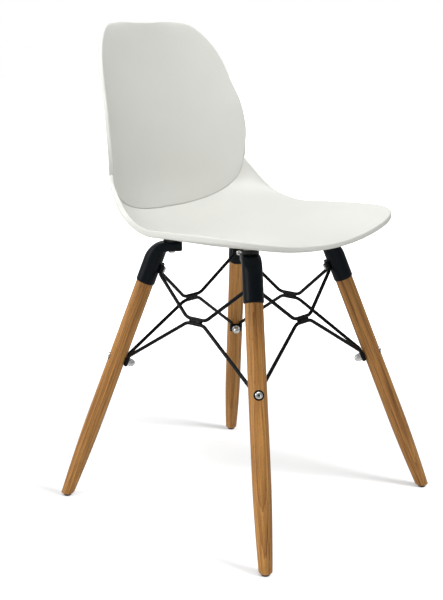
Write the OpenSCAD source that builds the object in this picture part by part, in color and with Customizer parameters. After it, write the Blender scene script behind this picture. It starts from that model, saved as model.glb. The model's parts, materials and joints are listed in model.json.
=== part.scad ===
// Dining chair: a one-piece moulded shell on four splayed wooden legs, tied by bent wire braces.
// Millimetres. +Z is up, the floor is z = 0 and the origin is the middle of the chair's footprint.
// The front of the chair faces -Y, and the sitter's left side is +X.

/* [Legs] */
// Sideways distance from the middle of the chair to a leg's axis at the floor
foot_x = 225; // [200:1:250]
// Front-to-back distance from the middle of the chair to a leg's axis at the floor
foot_y = 233; // [210:1:255]
// Sideways distance from the middle of the chair to a leg's axis at the socket rim
rim_x = 121; // [110:1:130]
// Front-to-back distance from the middle of the chair to a leg's axis at the socket rim
rim_y = 122.5; // [112:0.5:132]
// Height of the socket rim on the leg's axis
rim_z = 392; // [370:1:400]
// Diameter of a leg above its taper
leg_d = 30; // [27:0.5:31]
// Diameter of a leg at the floor
foot_d = 21; // [18:0.5:25]
// Length of the taper, measured up the leg
taper_l = 150; // [100:5:220]

/* [Feet] */
// Height of the gap between the floor and the end of the wood
glide_h = 4.5; // [4:0.5:7]
// Radius of the ball-shaped glide
glide_r = 8.2; // [7.5:0.1:9]

/* [Sockets] */
// Outer diameter of the socket tube
socket_d = 33; // [33:0.5:36]
// Height of the flat top of the socket arm
arm_top = 462.5; // [460:0.5:463]
// Thickness of the socket arm
arm_h = 16; // [13:0.5:18]
// Width of the socket arm
arm_w = 31.5; // [26:0.5:33]
// Distance from the leg's axis at the rim, inwards to the end of the arm
arm_reach = 65; // [62:1:72]
// Distance from the leg's axis at the rim, inwards to the seat bolt
bolt_reach = 47; // [45:1:49]

/* [Braces] */
// Diameter of the brace rods
rod_d = 6.2; // [5:0.1:6.5]
// Height of the welds in the middle of the braces
weld_z = 342.5; // [335:0.5:350]
// Distance from the middle of the chair to the welds of the left and right braces
weld_x = 125.5; // [118:0.5:132]
// Distance from the middle of the chair to the welds of the front and rear braces
weld_y = 127; // [120:0.5:134]
// Height on the leg's axis of the screws through the upper lugs
screw_z = 421; // [418:1:424]
// Height on the leg's axis of the bolts through the lower lugs
bolt_z = 256.5; // [250:0.5:262]

/* [Shell] */
// Width of the seat over its wings
seat_w = 424; // [415:1:432]
// Thickness of the shell away from its rim
shell_t = 5; // [4:0.5:6]
// How far the face of the back leaf stands in front of the seat leaf
step_h = 1.8; // [1:0.1:2.5]

/* [Hidden] */
$fn = 48;

// The lean of a leg: its plan direction, its angle from upright, and distances up its axis
lean_run = norm([foot_x - rim_x, foot_y - rim_y]);
lean_az = atan2(foot_y - rim_y, foot_x - rim_x);
lean = atan2(lean_run, rim_z);
function up_axis(z) = z / cos(lean);
rim_s = up_axis(rim_z);
screw_s = up_axis(screw_z);
bolt_s = up_axis(bolt_z);

// Leg details
taper_power = 1.75;
tenon_d = 28;
tenon_l = 42;
tenon_chamfer = 1.5;
tenon_top = rim_s + tenon_l;
spot_d = 17;
spot_x = 12.4;
pilot_reach = 3;
glide_ball_z = 6;

// Fasteners
leg_bolt_d = 7;
screw_d = 5;
seat_bolt_d = 6;
nail_d = 2.4;
nail_l = 20;
hole_gap = 0.3;
press_fit = 0.02;
washer_t = 1.2;
leg_head = [12, 3.2, 4.5];
screw_head = [10.5, 3, 4];
seat_head = [11, 3, 4];
leg_washer_d = 16.5;
nut_washer_d = 15;
screw_washer_d = 12.5;
seat_washer_d = 14;
nut_across = 12.5;
nut_h = 5;
nut_dome_d = 12;

// Socket details
wall_fit = 0.05;
rim_round = 2.5;
elbow_r = 40;
crook_r = 6;
arm_round = 4;
tip_r = 3;
spacer_d = 28;
spacer_h = 2;
boss_z = arm_top + spacer_h;
boss_d = 22;
insert_d = 9;
insert_l = 7.5;
bolt_grip = 6;
// Each boss is cut off inside the shell: [height of the cut, its slope in degrees]
front_boss_cut = [473, 8];
rear_boss_cut = [477.5, 16];
// Each spacer cup is cut off below the shell: [height of the cut, its slope in degrees]
front_cup_cut = [468.8, 8];
rear_cup_cut = [473.3, 16];

// Rod ends: they stand beside the bolt, parallel to the leg
rod_r = rod_d / 2;
rod_side = 8.5;
lower_rod_off = 17.9;
upper_rod_off = 18.6;
weld_gap = 8;
weld_l = 26;
upper_mid = 21;
lower_mid = 18.6;
face_lean = 0.3;
end_bend_r = 8;
mid_bend_r = 22;
rod_sides = 10;
// Heights on the leg's axis: where a rod ends, where it bends away from the leg, and a lug's two ends
upper_end_z = 428;
upper_bend_z = 414.5;
lower_end_z = 251.5;
lower_bend_z = 268;
upper_lug_z = [414, 429];
lower_lug_z = [250.5, 263];
nut_x = -(lower_rod_off + rod_r);
screw_x = -(upper_rod_off + rod_r);

// Helpers
function unit(v) = v / norm(v);
function arc(c, r, a0, a1, n = 8) =
    [for (i = [0:n]) let (a = a0 + (a1 - a0) * i / n) c + r * [cos(a), sin(a)]];
function mirror_pt(p, sx, sy) = [p[0] * sx, p[1] * sy, p[2]];

// A point beside the rear left leg, at the height z on its axis: off is inwards and side is sideways
function by_leg(z, off, side) =
    [foot_x, foot_y, 0] + [rim_x - foot_x, rim_y - foot_y, rim_z] * z / rim_z
    - off * [cos(lean_az) * cos(lean), sin(lean_az) * cos(lean), sin(lean)]
    + side * [-sin(lean_az), cos(lean_az), 0];

module corner(sx, sy)
    mirror([sx < 0 ? 1 : 0, 0, 0])
        mirror([0, sy < 0 ? 1 : 0, 0])
            children();

// Local z runs up the leg's axis from the floor, and local x points away from the middle of the chair
module at_leg(sx, sy)
    corner(sx, sy)
        translate([foot_x, foot_y, 0])
            rotate([0, 0, lean_az])
                rotate([0, -lean, 0])
                    children();

// Upright, with the leg's axis at x = 0 at the socket rim, and local x pointing away from the middle
module at_socket(sx, sy)
    corner(sx, sy)
        translate([rim_x, rim_y, 0])
            rotate([0, 0, lean_az])
                children();

module all_corners() {
    for (sx = [-1, 1])
        for (sy = [-1, 1]) {
            $sx = sx;
            $sy = sy;
            children();
        }
}

// Turned along local x, from x0 to x1
module bar_x(d, x0, x1)
    translate([x0, 0, 0])
        rotate([0, 90, 0])
            cylinder(d = d, h = x1 - x0);

// A button head with a hexagon socket, from its [diameter, height, socket size]: the flat side is z = 0
module button_head(size) {
    r = size[0] / 2;
    h = size[1];
    crown = h * 0.6;
    difference() {
        rotate_extrude()
            polygon(concat([[0, 0], [r, 0]], arc([r - crown, h - crown], crown, 0, 90, 5), [[0, h]]));
        translate([0, 0, h - crown])
            cylinder(d = size[2] / cos(30), h = h, $fn = 6);
    }
}

module ring(d, hole, h)
    difference() {
        cylinder(d = d, h = h);
        translate([0, 0, -1])
            cylinder(d = hole, h = h + 2);
    }

// ---- Legs ----
function leg_r(s) =
    s > taper_l ? leg_d / 2 : leg_d / 2 - (leg_d - foot_d) / 2 * pow(1 - max(s, 0) / taper_l, taper_power);

module leg(sx, sy)
    color("#b07a45")
        difference() {
            at_leg(sx, sy)
                rotate_extrude()
                    polygon(concat(
                        [[0, -12], [foot_d / 2, -12]],
                        [for (i = [0:12]) let (s = taper_l * i / 12) [leg_r(s), s]],
                        [[leg_d / 2, rim_s], [tenon_d / 2, rim_s]],
                        [[tenon_d / 2, tenon_top - tenon_chamfer], [tenon_d / 2 - tenon_chamfer, tenon_top]],
                        [[0, tenon_top]]));
            translate([-500, -500, -50])
                cube([1000, 1000, 50 + glide_h]);
            at_leg(sx, sy) {
                translate([0, 0, bolt_s])
                    bar_x(leg_bolt_d + hole_gap, -leg_d, leg_d);
                translate([0, 0, bolt_s])
                    bar_x(spot_d, spot_x, leg_d);
                translate([0, 0, screw_s])
                    bar_x(screw_d, -leg_d, -pilot_reach);
                cylinder(d = nail_d, h = nail_l);
            }
        }

// ---- Feet ----
module glide(sx, sy)
    color("#2a2622")
        difference() {
            intersection() {
                at_leg(sx, sy)
                    translate([0, 0, up_axis(glide_ball_z)])
                        sphere(r = glide_r);
                translate([-500, -500, 0])
                    cube([1000, 1000, glide_h]);
            }
            at_leg(sx, sy)
                translate([0, 0, up_axis(glide_h) - 3])
                    cylinder(d = nail_d, h = nail_l);
        }

module glide_nails()
    color("silver")
        all_corners()
            at_leg($sx, $sy)
                translate([0, 0, up_axis(glide_h) - 3])
                    cylinder(d = nail_d - press_fit, h = nail_l - up_axis(glide_h) + 2.5);

// ---- Sockets ----
arm_low = arm_top - arm_h;

// Outline of a socket seen from its side: the tube leans, the arm is level
function socket_outline() =
    let (
        r = socket_d / 2,
        c = cos(lean),
        s = sin(lean),
        out_z = arm_top - elbow_r,
        out_x = (r - elbow_r - (out_z - rim_z) * s) / c,
        in_z = arm_low - crook_r,
        in_x = (-r - crook_r - (in_z - rim_z) * s) / c
    )
    concat(
        [[r * c, rim_z + r * s], [-r * c, rim_z - r * s]],
        arc([in_x, in_z], crook_r, lean, 90, 5),
        arc([tip_r - arm_reach, arm_low + tip_r], tip_r, 270, 190, 4),
        [[-arm_reach, arm_top]],
        arc([out_x, out_z], elbow_r, 90, lean, 10));

function round_rect(w, h, r) = concat(
    arc([w / 2 - r, h / 2 - r], r, 0, 90, 5), arc([r - w / 2, h / 2 - r], r, 90, 180, 5),
    arc([r - w / 2, r - h / 2], r, 180, 270, 5), arc([w / 2 - r, r - h / 2], r, 270, 360, 5));

module socket(sx, sy)
    color("#10161a")
        difference() {
            intersection() {
                at_socket(sx, sy)
                    rotate([90, 0, 0])
                        linear_extrude(socket_d + 4, center = true)
                            polygon(socket_outline());
                union() {
                    at_leg(sx, sy)
                        translate([0, 0, rim_s])
                            rotate_extrude()
                                polygon(concat(
                                    [[0, 0]],
                                    arc([socket_d / 2 - rim_round, rim_round], rim_round, 270, 360, 5),
                                    [[socket_d / 2, 90], [0, 90]]));
                    at_socket(sx, sy)
                        translate([-arm_reach - 1, 0, (arm_top + arm_low) / 2])
                            rotate([90, 0, 90])
                                linear_extrude(arm_reach)
                                    polygon(round_rect(arm_w, arm_h, arm_round));
                }
            }
            at_leg(sx, sy) {
                translate([0, 0, rim_s - 1])
                    cylinder(d = tenon_d + 2 * wall_fit, h = tenon_l + 1.5);
                translate([0, 0, screw_s])
                    bar_x(screw_d + hole_gap, -socket_d, -pilot_reach);
            }
            at_socket(sx, sy)
                translate([-bolt_reach, 0, arm_low - 5])
                    cylinder(d = seat_bolt_d + hole_gap, h = arm_h + 10);
        }

// ---- Lugs ----
// A saddle block between two rod ends, hollowed to sit against the leg or the socket
module lug(z_ends, z_hole, off, tube_d, hole_d) {
    low = up_axis(z_ends[0]);
    tall = up_axis(z_ends[1] - z_ends[0]);
    color("#101214")
        difference() {
            translate([-off - rod_r, -rod_side, low])
                cube([off + rod_r - tube_d / 2 + 4, 2 * rod_side, tall]);
            for (side = [-1, 1])
                translate([-off, side * rod_side, low - 5])
                    cylinder(r = rod_r, h = tall + 10);
            translate([0, 0, low - 5])
                cylinder(d = tube_d + 2 * wall_fit, h = tall + 10);
            translate([0, 0, up_axis(z_hole)])
                bar_x(hole_d + hole_gap, -40, 0);
        }
}

module upper_lug(sx, sy)
    at_leg(sx, sy)
        lug(upper_lug_z, screw_z, upper_rod_off, socket_d, screw_d);

module lower_lug(sx, sy)
    at_leg(sx, sy)
        lug(lower_lug_z, bolt_z, lower_rod_off, leg_d, leg_bolt_d);

// ---- Brace rods ----
// Round a corner of a path at b, between a and c
function bend(a, b, c, r, n = 5) =
    let (
        u = unit(a - b),
        v = unit(c - b),
        half = acos(u * v) / 2,
        centre = b + unit(u + v) * r / sin(half),
        p = unit(b + u * r / tan(half) - centre),
        q = unit(b + v * r / tan(half) - centre),
        turn = 180 - 2 * half
    )
    [for (i = [0:n]) centre + r * (sin(turn * (1 - i / n)) * p + sin(turn * i / n) * q) / sin(turn)];

// The middle of a brace: out sideways along the brace by across, above the weld by rise
function mid_point(rear, across, rise) =
    rear
        ? [across, weld_y - rise * face_lean, weld_z + rise]
        : [weld_x - rise * face_lean, across, weld_z + rise];

// Half of a rod's middle line, from its end at the rear left leg to its bend by the weld
function half_path(rear, z_end, z_bend, off, across, rise) =
    let (
        side = rear ? rod_side : -rod_side,
        a = by_leg(z_end, off, side),
        b = by_leg(z_bend, off, side),
        c = mid_point(rear, across, rise),
        d = mid_point(rear, -across, rise)
    )
    concat([a], bend(a, b, c, end_bend_r), bend(b, c, d, mid_bend_r));

function flip(p, rear) = rear ? mirror_pt(p, -1, 1) : mirror_pt(p, 1, -1);
function whole_path(half, rear) =
    concat(half, [for (i = [len(half) - 1:-1:0]) flip(half[i], rear)]);

function rod_ring(path, i, r, out) =
    let (
        n = len(path) - 1,
        t = unit(path[min(i + 1, n)] - path[max(i - 1, 0)]),
        s = unit(cross(t, out)),
        u = cross(s, t)
    )
    [for (k = [0:rod_sides - 1]) path[i] + r * (cos(360 * k / rod_sides) * s + sin(360 * k / rod_sides) * u)];

module sweep(path, r, out) {
    n = len(path);
    m = rod_sides;
    points = [for (i = [0:n - 1]) each rod_ring(path, i, r, out)];
    walls = [for (i = [0:n - 2]) for (k = [0:m - 1])
        [i * m + k, (i + 1) * m + k, (i + 1) * m + (k + 1) % m, i * m + (k + 1) % m]];
    caps = [[for (k = [0:m - 1]) k], [for (k = [m - 1:-1:0]) (n - 1) * m + k]];
    polyhedron(points, concat(walls, caps));
}

module rod(rear, upper) {
    half = upper
        ? half_path(rear, upper_end_z, upper_bend_z, upper_rod_off, upper_mid, weld_gap / 2)
        : half_path(rear, lower_end_z, lower_bend_z, lower_rod_off, lower_mid, -weld_gap / 2);
    color("#0c0d0f")
        sweep(whole_path(half, rear), rod_r, rear ? [0, 1, face_lean] : [1, 0, face_lean]);
}

// Filler between the two rods of a brace, left behind where the rods are cut away
module weld(rear)
    color("#17181a")
        translate(mid_point(rear, 0, 0))
            rotate([0, 0, rear ? 0 : 90])
                rotate([rear ? atan(face_lean) : -atan(face_lean), 0, 0])
                    rotate([0, 90, 0])
                        difference() {
                            cylinder(d = rod_d + 1, h = weld_l, center = true);
                            for (side = [-1, 1])
                                translate([side * weld_gap / 2 * norm([1, face_lean]), 0, 0])
                                    cylinder(d = rod_d, h = weld_l + 2, center = true);
                        }

// ---- Fasteners ----
module leg_bolts()
    color("silver")
        all_corners()
            at_leg($sx, $sy)
                translate([0, 0, bolt_s]) {
                    bar_x(leg_bolt_d, nut_x - 7, spot_x + washer_t);
                    translate([spot_x + washer_t, 0, 0])
                        rotate([0, 90, 0])
                            button_head(leg_head);
                }

module leg_bolt_washers()
    color("#26282a")
        all_corners()
            at_leg($sx, $sy)
                translate([spot_x, 0, bolt_s])
                    rotate([0, 90, 0])
                        ring(leg_washer_d, leg_bolt_d + hole_gap, washer_t);

module cap_nuts()
    color("silver")
        all_corners()
            at_leg($sx, $sy)
                translate([nut_x - washer_t, 0, bolt_s])
                    rotate([0, -90, 0])
                        difference() {
                            union() {
                                cylinder(d = nut_across / cos(30), h = nut_h, $fn = 6);
                                translate([0, 0, nut_h - 0.4])
                                    intersection() {
                                        sphere(d = nut_dome_d);
                                        cylinder(d = nut_dome_d + 1, h = nut_dome_d);
                                    }
                            }
                            translate([0, 0, -1])
                                cylinder(d = leg_bolt_d, h = 8);
                        }

module cap_nut_washers()
    color("silver")
        all_corners()
            at_leg($sx, $sy)
                translate([nut_x, 0, bolt_s])
                    rotate([0, -90, 0])
                        ring(nut_washer_d, leg_bolt_d + hole_gap, washer_t);

module brace_screws()
    color("silver")
        all_corners()
            at_leg($sx, $sy)
                translate([0, 0, screw_s]) {
                    bar_x(screw_d - press_fit, screw_x - washer_t, -pilot_reach - 1);
                    translate([screw_x - washer_t, 0, 0])
                        rotate([0, -90, 0])
                            button_head(screw_head);
                }

module brace_screw_washers()
    color("#26282a")
        all_corners()
            at_leg($sx, $sy)
                translate([screw_x, 0, screw_s])
                    rotate([0, -90, 0])
                        ring(screw_washer_d, screw_d + hole_gap, washer_t);

module seat_bolts()
    color("silver")
        all_corners()
            at_socket($sx, $sy)
                translate([-bolt_reach, 0, 0]) {
                    translate([0, 0, arm_low - washer_t])
                        cylinder(d = seat_bolt_d, h = boss_z + bolt_grip - arm_low + washer_t);
                    translate([0, 0, arm_low - washer_t])
                        rotate([180, 0, 0])
                            button_head(seat_head);
                }

module seat_bolt_washers()
    color("#3a3c3e")
        all_corners()
            at_socket($sx, $sy)
                translate([-bolt_reach, 0, arm_low - washer_t])
                    ring(seat_washer_d, seat_bolt_d + hole_gap, washer_t);

// Keeps what is under a plane that slants like the shell: cut is [its height, its slope in degrees]
module under_slant(cut)
    intersection() {
        children();
        translate([0, 0, cut[0]])
            rotate([0, -cut[1], 0])
                translate([-spacer_d, -spacer_d, -2 * spacer_d])
                    cube(2 * spacer_d);
    }

module seat_spacers()
    color("#26282a")
        all_corners()
            at_socket($sx, $sy)
                translate([-bolt_reach, 0, 0])
                    under_slant($sy > 0 ? rear_cup_cut : front_cup_cut)
                        difference() {
                            translate([0, 0, arm_top])
                                ring(spacer_d, seat_bolt_d + hole_gap, spacer_d);
                            translate([0, 0, boss_z])
                                cylinder(d = boss_d + hole_gap, h = spacer_d);
                        }

module seat_inserts()
    color("#c9a94e")
        all_corners()
            at_socket($sx, $sy)
                translate([-bolt_reach, 0, boss_z])
                    ring(insert_d, seat_bolt_d, insert_l);

// ---- Shell ----
// Each row runs from the middle line of the shell to its edge:
// [middle y, middle z, edge x as a part of the half width, edge y, edge z, curl, rim depth]
seat_rows = [
    [-198, 482, 0.19, -197, 483, 0, 8],
    [-194, 481, 0.50, -191, 489, 0, 8],
    [-186, 479.5, 0.76, -183, 499, 0, 9],
    [-172, 477, 0.93, -165, 507, 0, 9],
    [-145, 474, 0.993, -132, 511, 0, 10],
    [-95, 470, 1, -80, 510, 0, 11],
    [-30, 467.5, 0.99, -20, 507.5, 0, 11],
    [35, 468, 0.953, 42, 506.5, 0.05, 11],
    [92, 473, 0.887, 92, 525, 0.3, 10],
    [140, 486, 0.825, 132, 562, 0.7, 8],
    [178, 504, 0.783, 146, 580, 1, 7]
];
back_rows = [
    [178.5, 506, 0.784, 145.7, 582, 1, 7],
    [190, 545, 0.806, 143.5, 610, 0.6, 7],
    [196, 595, 0.814, 144.5, 640, 0.2, 7],
    [203, 650, 0.795, 153, 682, 0, 7],
    [212, 705, 0.75, 169, 722, 0, 7],
    [221, 752, 0.693, 186.5, 766, 0, 7],
    [228, 788, 0.61, 203.5, 798, 0, 7],
    [232, 812, 0.49, 220, 821, 0, 7],
    [234, 823, 0.35, 231, 827, 0, 7],
    [234.5, 826.5, 0.19, 234, 828, 0, 7]
];
seat_steps = 26;
back_steps = 22;
across_steps = 14;
// How many rows the deep front lip fades over
lip_reach = 1.6;

// A smooth curve through the rows, at a place v from 0 to the last row
function spline_row(rows, v) =
    let (
        n = len(rows) - 1,
        i = min(floor(v), n - 1),
        t = v - i,
        p1 = rows[i],
        p2 = rows[i + 1],
        p0 = i > 0 ? rows[i - 1] : 2 * p1 - p2,
        p3 = i + 2 <= n ? rows[i + 2] : 2 * p2 - p1
    )
    (2 * p1 + (p2 - p0) * t + (2 * p0 - 5 * p1 + 4 * p2 - p3) * t * t
        + (3 * p1 - p0 - 3 * p2 + p3) * t * t * t) / 2;

// How a row climbs from the middle, u = 0, to the edge, u = 1: a bowl, or a scoop where curl is 1
function climb(u, curl) =
    (1 - curl) * pow(u, 2.3) + curl * (1 - pow(max(1 - pow(u, 2.4), 0), 1 / 2.4));

function face_point(rows, v, u) =
    let (r = spline_row(rows, v))
    [u * r[2] * seat_w / 2, r[0] + (r[3] - r[0]) * pow(u, 2.1), r[1] + (r[4] - r[1]) * climb(u, r[5])];

// The direction out of the face, towards the sitter
function face_out(rows, v, u) =
    let (
        n = len(rows) - 1,
        e = 0.02,
        across = face_point(rows, v, min(u + e, 1)) - face_point(rows, v, max(u - e, 0)),
        r0 = spline_row(rows, max(v - e, 0)),
        r1 = spline_row(rows, min(v + e, n)),
        along = face_point(rows, min(v + e, n), u) - face_point(rows, max(v - e, 0), u)
    )
    unit(cross(unit(across), unit(along) + 1.5 * unit([0, r1[0] - r0[0], r1[1] - r0[1]])));

function depth(rows, v, u) =
    shell_t + (spline_row(rows, v)[6] - shell_t) * max(pow(u, 14), front_lip(rows, v));

// The seat's free front edge is as deep as its sides
function front_lip(rows, v) = rows == seat_rows ? pow(max(1 - v / lip_reach, 0), 3) : 0;

// The rim of the seat hangs straight down, and the rim of the back follows its face
function rim_dir(out, u, drop) = unit([out[0] * (1 - drop * pow(u, 6)), out[1], out[2]]);

function face_row(rows, v, lift) =
    [for (i = [-across_steps:across_steps])
        let (
            u = sin(90 * abs(i) / across_steps),
            p = face_point(rows, v, u) + lift * face_out(rows, v, u)
        )
        mirror_pt(p, sign(i), 1)];

function under_row(rows, v, lift, drop) =
    [for (i = [-across_steps:across_steps])
        let (
            u = sin(90 * abs(i) / across_steps),
            out = face_out(rows, v, u),
            p = face_point(rows, v, u) + lift * out - depth(rows, v, u) * rim_dir(out, u, drop)
        )
        mirror_pt(p, sign(i), 1)];

module shell_body() {
    seat_v = [for (i = [0:seat_steps]) (len(seat_rows) - 1) * i / seat_steps];
    back_v = [for (i = [0:back_steps]) (len(back_rows) - 1) * i / back_steps];
    top = concat(
        [for (v = seat_v) each face_row(seat_rows, v, 0)],
        [for (v = back_v) each face_row(back_rows, v, step_h)]);
    under = concat(
        [for (v = seat_v) each under_row(seat_rows, v, 0, 1 - spline_row(seat_rows, v)[5])],
        [for (v = back_v) each under_row(back_rows, v, step_h, 0)]);
    m = 2 * across_steps + 1;
    n = seat_steps + back_steps + 2;
    k = len(top);
    faces = concat(
        [for (i = [0:n - 2]) for (j = [0:m - 2])
            each [[i * m + j, (i + 1) * m + j, (i + 1) * m + j + 1],
                  [i * m + j, (i + 1) * m + j + 1, i * m + j + 1]]],
        [for (i = [0:n - 2]) for (j = [0:m - 2])
            each [[k + i * m + j, k + (i + 1) * m + j + 1, k + (i + 1) * m + j],
                  [k + i * m + j, k + i * m + j + 1, k + (i + 1) * m + j + 1]]],
        [for (i = [0:n - 2]) each [
            [i * m, k + i * m, (i + 1) * m], [k + i * m, k + (i + 1) * m, (i + 1) * m],
            [i * m + m - 1, (i + 1) * m + m - 1, k + i * m + m - 1],
            [k + i * m + m - 1, (i + 1) * m + m - 1, k + (i + 1) * m + m - 1]]],
        [for (j = [0:m - 2]) each [
            [j, j + 1, k + j], [k + j, j + 1, k + j + 1],
            [(n - 1) * m + j, k + (n - 1) * m + j, (n - 1) * m + j + 1],
            [k + (n - 1) * m + j, k + (n - 1) * m + j + 1, (n - 1) * m + j + 1]]]);
    polyhedron(concat(top, under), faces);
}

module seat_shell()
    color("#ededeb")
        difference() {
            union() {
                shell_body();
                all_corners()
                    at_socket($sx, $sy)
                        translate([-bolt_reach, 0, 0])
                            under_slant($sy > 0 ? rear_boss_cut : front_boss_cut)
                                translate([0, 0, boss_z])
                                    cylinder(d = boss_d, h = boss_d);
            }
            all_corners()
                at_socket($sx, $sy)
                    translate([-bolt_reach, 0, boss_z - 1])
                        cylinder(d = insert_d, h = insert_l + 1);
        }

seat_shell();
leg(1, -1);  // leg_front_left
leg(-1, -1);  // leg_front_right
leg(1, 1);  // leg_rear_left
leg(-1, 1);  // leg_rear_right
socket(1, -1);  // socket_front_left
socket(-1, -1);  // socket_front_right
socket(1, 1);  // socket_rear_left
socket(-1, 1);  // socket_rear_right
corner(1, -1) rod(true, true);  // front_brace_upper_rod
corner(1, -1) rod(true, false);  // front_brace_lower_rod
rod(true, true);  // rear_brace_upper_rod
rod(true, false);  // rear_brace_lower_rod
rod(false, true);  // left_brace_upper_rod
rod(false, false);  // left_brace_lower_rod
corner(-1, 1) rod(false, true);  // right_brace_upper_rod
corner(-1, 1) rod(false, false);  // right_brace_lower_rod
corner(1, -1) weld(true);  // front_brace_weld
weld(true);  // rear_brace_weld
weld(false);  // left_brace_weld
corner(-1, 1) weld(false);  // right_brace_weld
upper_lug(1, -1);  // upper_lug_front_left
upper_lug(-1, -1);  // upper_lug_front_right
upper_lug(1, 1);  // upper_lug_rear_left
upper_lug(-1, 1);  // upper_lug_rear_right
lower_lug(1, -1);  // lower_lug_front_left
lower_lug(-1, -1);  // lower_lug_front_right
lower_lug(1, 1);  // lower_lug_rear_left
lower_lug(-1, 1);  // lower_lug_rear_right
glide(1, -1);  // glide_front_left
glide(-1, -1);  // glide_front_right
glide(1, 1);  // glide_rear_left
glide(-1, 1);  // glide_rear_right
glide_nails();
leg_bolts();
leg_bolt_washers();
cap_nuts();
cap_nut_washers();
brace_screws();
brace_screw_washers();
seat_bolts();
seat_bolt_washers();
seat_spacers();
seat_inserts();
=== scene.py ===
import json
import math

import bmesh
import bpy
import numpy as np
from mathutils import Matrix, Vector, noise


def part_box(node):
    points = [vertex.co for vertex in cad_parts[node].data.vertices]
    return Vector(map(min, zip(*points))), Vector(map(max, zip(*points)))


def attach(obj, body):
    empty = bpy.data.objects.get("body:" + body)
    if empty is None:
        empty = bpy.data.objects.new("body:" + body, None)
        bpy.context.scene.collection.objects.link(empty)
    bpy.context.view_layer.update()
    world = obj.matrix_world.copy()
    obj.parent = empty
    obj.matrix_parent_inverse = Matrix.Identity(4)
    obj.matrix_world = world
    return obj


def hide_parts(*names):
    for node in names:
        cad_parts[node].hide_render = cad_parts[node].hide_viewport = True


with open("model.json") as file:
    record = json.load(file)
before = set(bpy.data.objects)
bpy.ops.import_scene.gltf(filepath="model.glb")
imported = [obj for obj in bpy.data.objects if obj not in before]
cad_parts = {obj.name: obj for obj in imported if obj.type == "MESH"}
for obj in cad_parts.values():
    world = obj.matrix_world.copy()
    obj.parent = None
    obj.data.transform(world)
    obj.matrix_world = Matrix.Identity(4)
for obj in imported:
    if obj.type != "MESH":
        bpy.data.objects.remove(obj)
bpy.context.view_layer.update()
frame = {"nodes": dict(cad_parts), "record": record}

NODES = frame["nodes"]
MM = 0.001
UP = Vector((0, 0, 1))
QUARTER = math.pi / 2
CORNERS = {"front_left": (1, -1), "front_right": (-1, -1), "rear_left": (1, 1), "rear_right": (-1, 1)}

# Sizes of the turned, cast and bent parts, in metres
LEG_R, FOOT_R, TAPER_L, TAPER_POWER, FOOT_ROUND = 0.015, 0.0105, 0.150, 1.75, 0.0022
TENON_R, TENON_L, SPOT_R, SPOT_FACE = 0.0139, 0.042, 0.0085, 0.0124
SOCKET_R, BORE_R, BORE_L = 0.0165, 0.01405, 0.0425
RIM_ROUND = SOCKET_R - BORE_R
ARM_H, ARM_HALF_W, ARM_REACH, TIP_R, ELBOW_R, CROOK_R = 0.016, 0.01575, 0.065, 0.003, 0.040, 0.006
ROD_R, ROD_SIDE, UPPER_OFF, LOWER_OFF = 0.0031, 0.0085, 0.0186, 0.0179
UPPER_LUG_Z, LOWER_LUG_Z = (0.414, 0.429), (0.2505, 0.263)
WELD_GAP, UPPER_MID, LOWER_MID, FACE_LEAN = 0.008, 0.021, 0.0186, 0.3
END_BEND_R, MID_BEND_R = 0.008, 0.022
SHELL_HALF_W, SHELL_T, STEP_H, STEP_ROUND, LIP_R, LIP_FOOT_R = 0.212, 0.005, 0.0018, 0.0012, 0.0022, 0.0015

# Sizes of the fasteners: each head is (across, height, key), and each washer is (across, hole)
LEG_BOLT_R, SCREW_R, SEAT_BOLT_R, INSERT_R, SPACER_R = 0.0035, 0.00249, 0.003, 0.0045, 0.014
LEG_BOLT_HEAD = (0.012, 0.0032, 0.0045)
SCREW_HEAD = (0.0105, 0.003, 0.004)
SEAT_BOLT_HEAD = (0.011, 0.003, 0.004)
LEG_WASHER, NUT_WASHER = (0.0165, 0.0073), (0.015, 0.0073)
SCREW_WASHER, SEAT_WASHER = (0.0125, 0.0053), (0.014, 0.0063)
WASHER_T, HOLE_GAP = 0.0012, 0.00015


# ---- Where the chair's lines run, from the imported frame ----
def nail_line():
    """The rear left leg's axis: its point on the floor and its direction, from the nail that lies on it."""
    points = [v.co for v in NODES["glide_nails"].data.vertices if v.co.x > 0 and v.co.y > 0]
    middle = (min(p.z for p in points) + max(p.z for p in points)) / 2
    low = [p for p in points if p.z < middle]
    high = [p for p in points if p.z > middle]
    start = sum(low, Vector()) / len(low)
    way = (sum(high, Vector()) / len(high) - start).normalized()
    return start - way * start.z / way.z, way


FOOT, AXIS = nail_line()
LEAN = math.acos(AXIS.z)
COS_LEAN, SIN_LEAN = math.cos(LEAN), math.sin(LEAN)
PLAN = Vector((-AXIS.x, -AXIS.y, 0)).normalized()
GLIDE_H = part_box("glide_rear_left")[1].z
RIM_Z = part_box("socket_rear_left")[0].z + BORE_R * SIN_LEAN + RIM_ROUND * (1 - COS_LEAN)
ARM_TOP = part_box("seat_spacers")[0].z
BOSS_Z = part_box("seat_inserts")[0].z
# The slanted top of a front and of a rear spacer cup, as its height on the bolt and its slope
CUP_TOPS = {False: (0.4688, math.radians(8)), True: (0.4733, math.radians(16))}
SEAT_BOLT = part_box("seat_inserts")[1] - Vector((INSERT_R, INSERT_R, 0))


def disc_z(node, out):
    """The height on the leg's axis of a disc that stands out from that axis."""
    low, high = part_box(node)
    return (low.z + high.z) / 2 - out * SIN_LEAN


NUT_FACE = -(LOWER_OFF + ROD_R)
SCREW_FACE = -(UPPER_OFF + ROD_R)
BOLT_Z = disc_z("leg_bolt_washers", SPOT_FACE + WASHER_T / 2)
SCREW_Z = disc_z("brace_screw_washers", SCREW_FACE - WASHER_T / 2)


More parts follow.
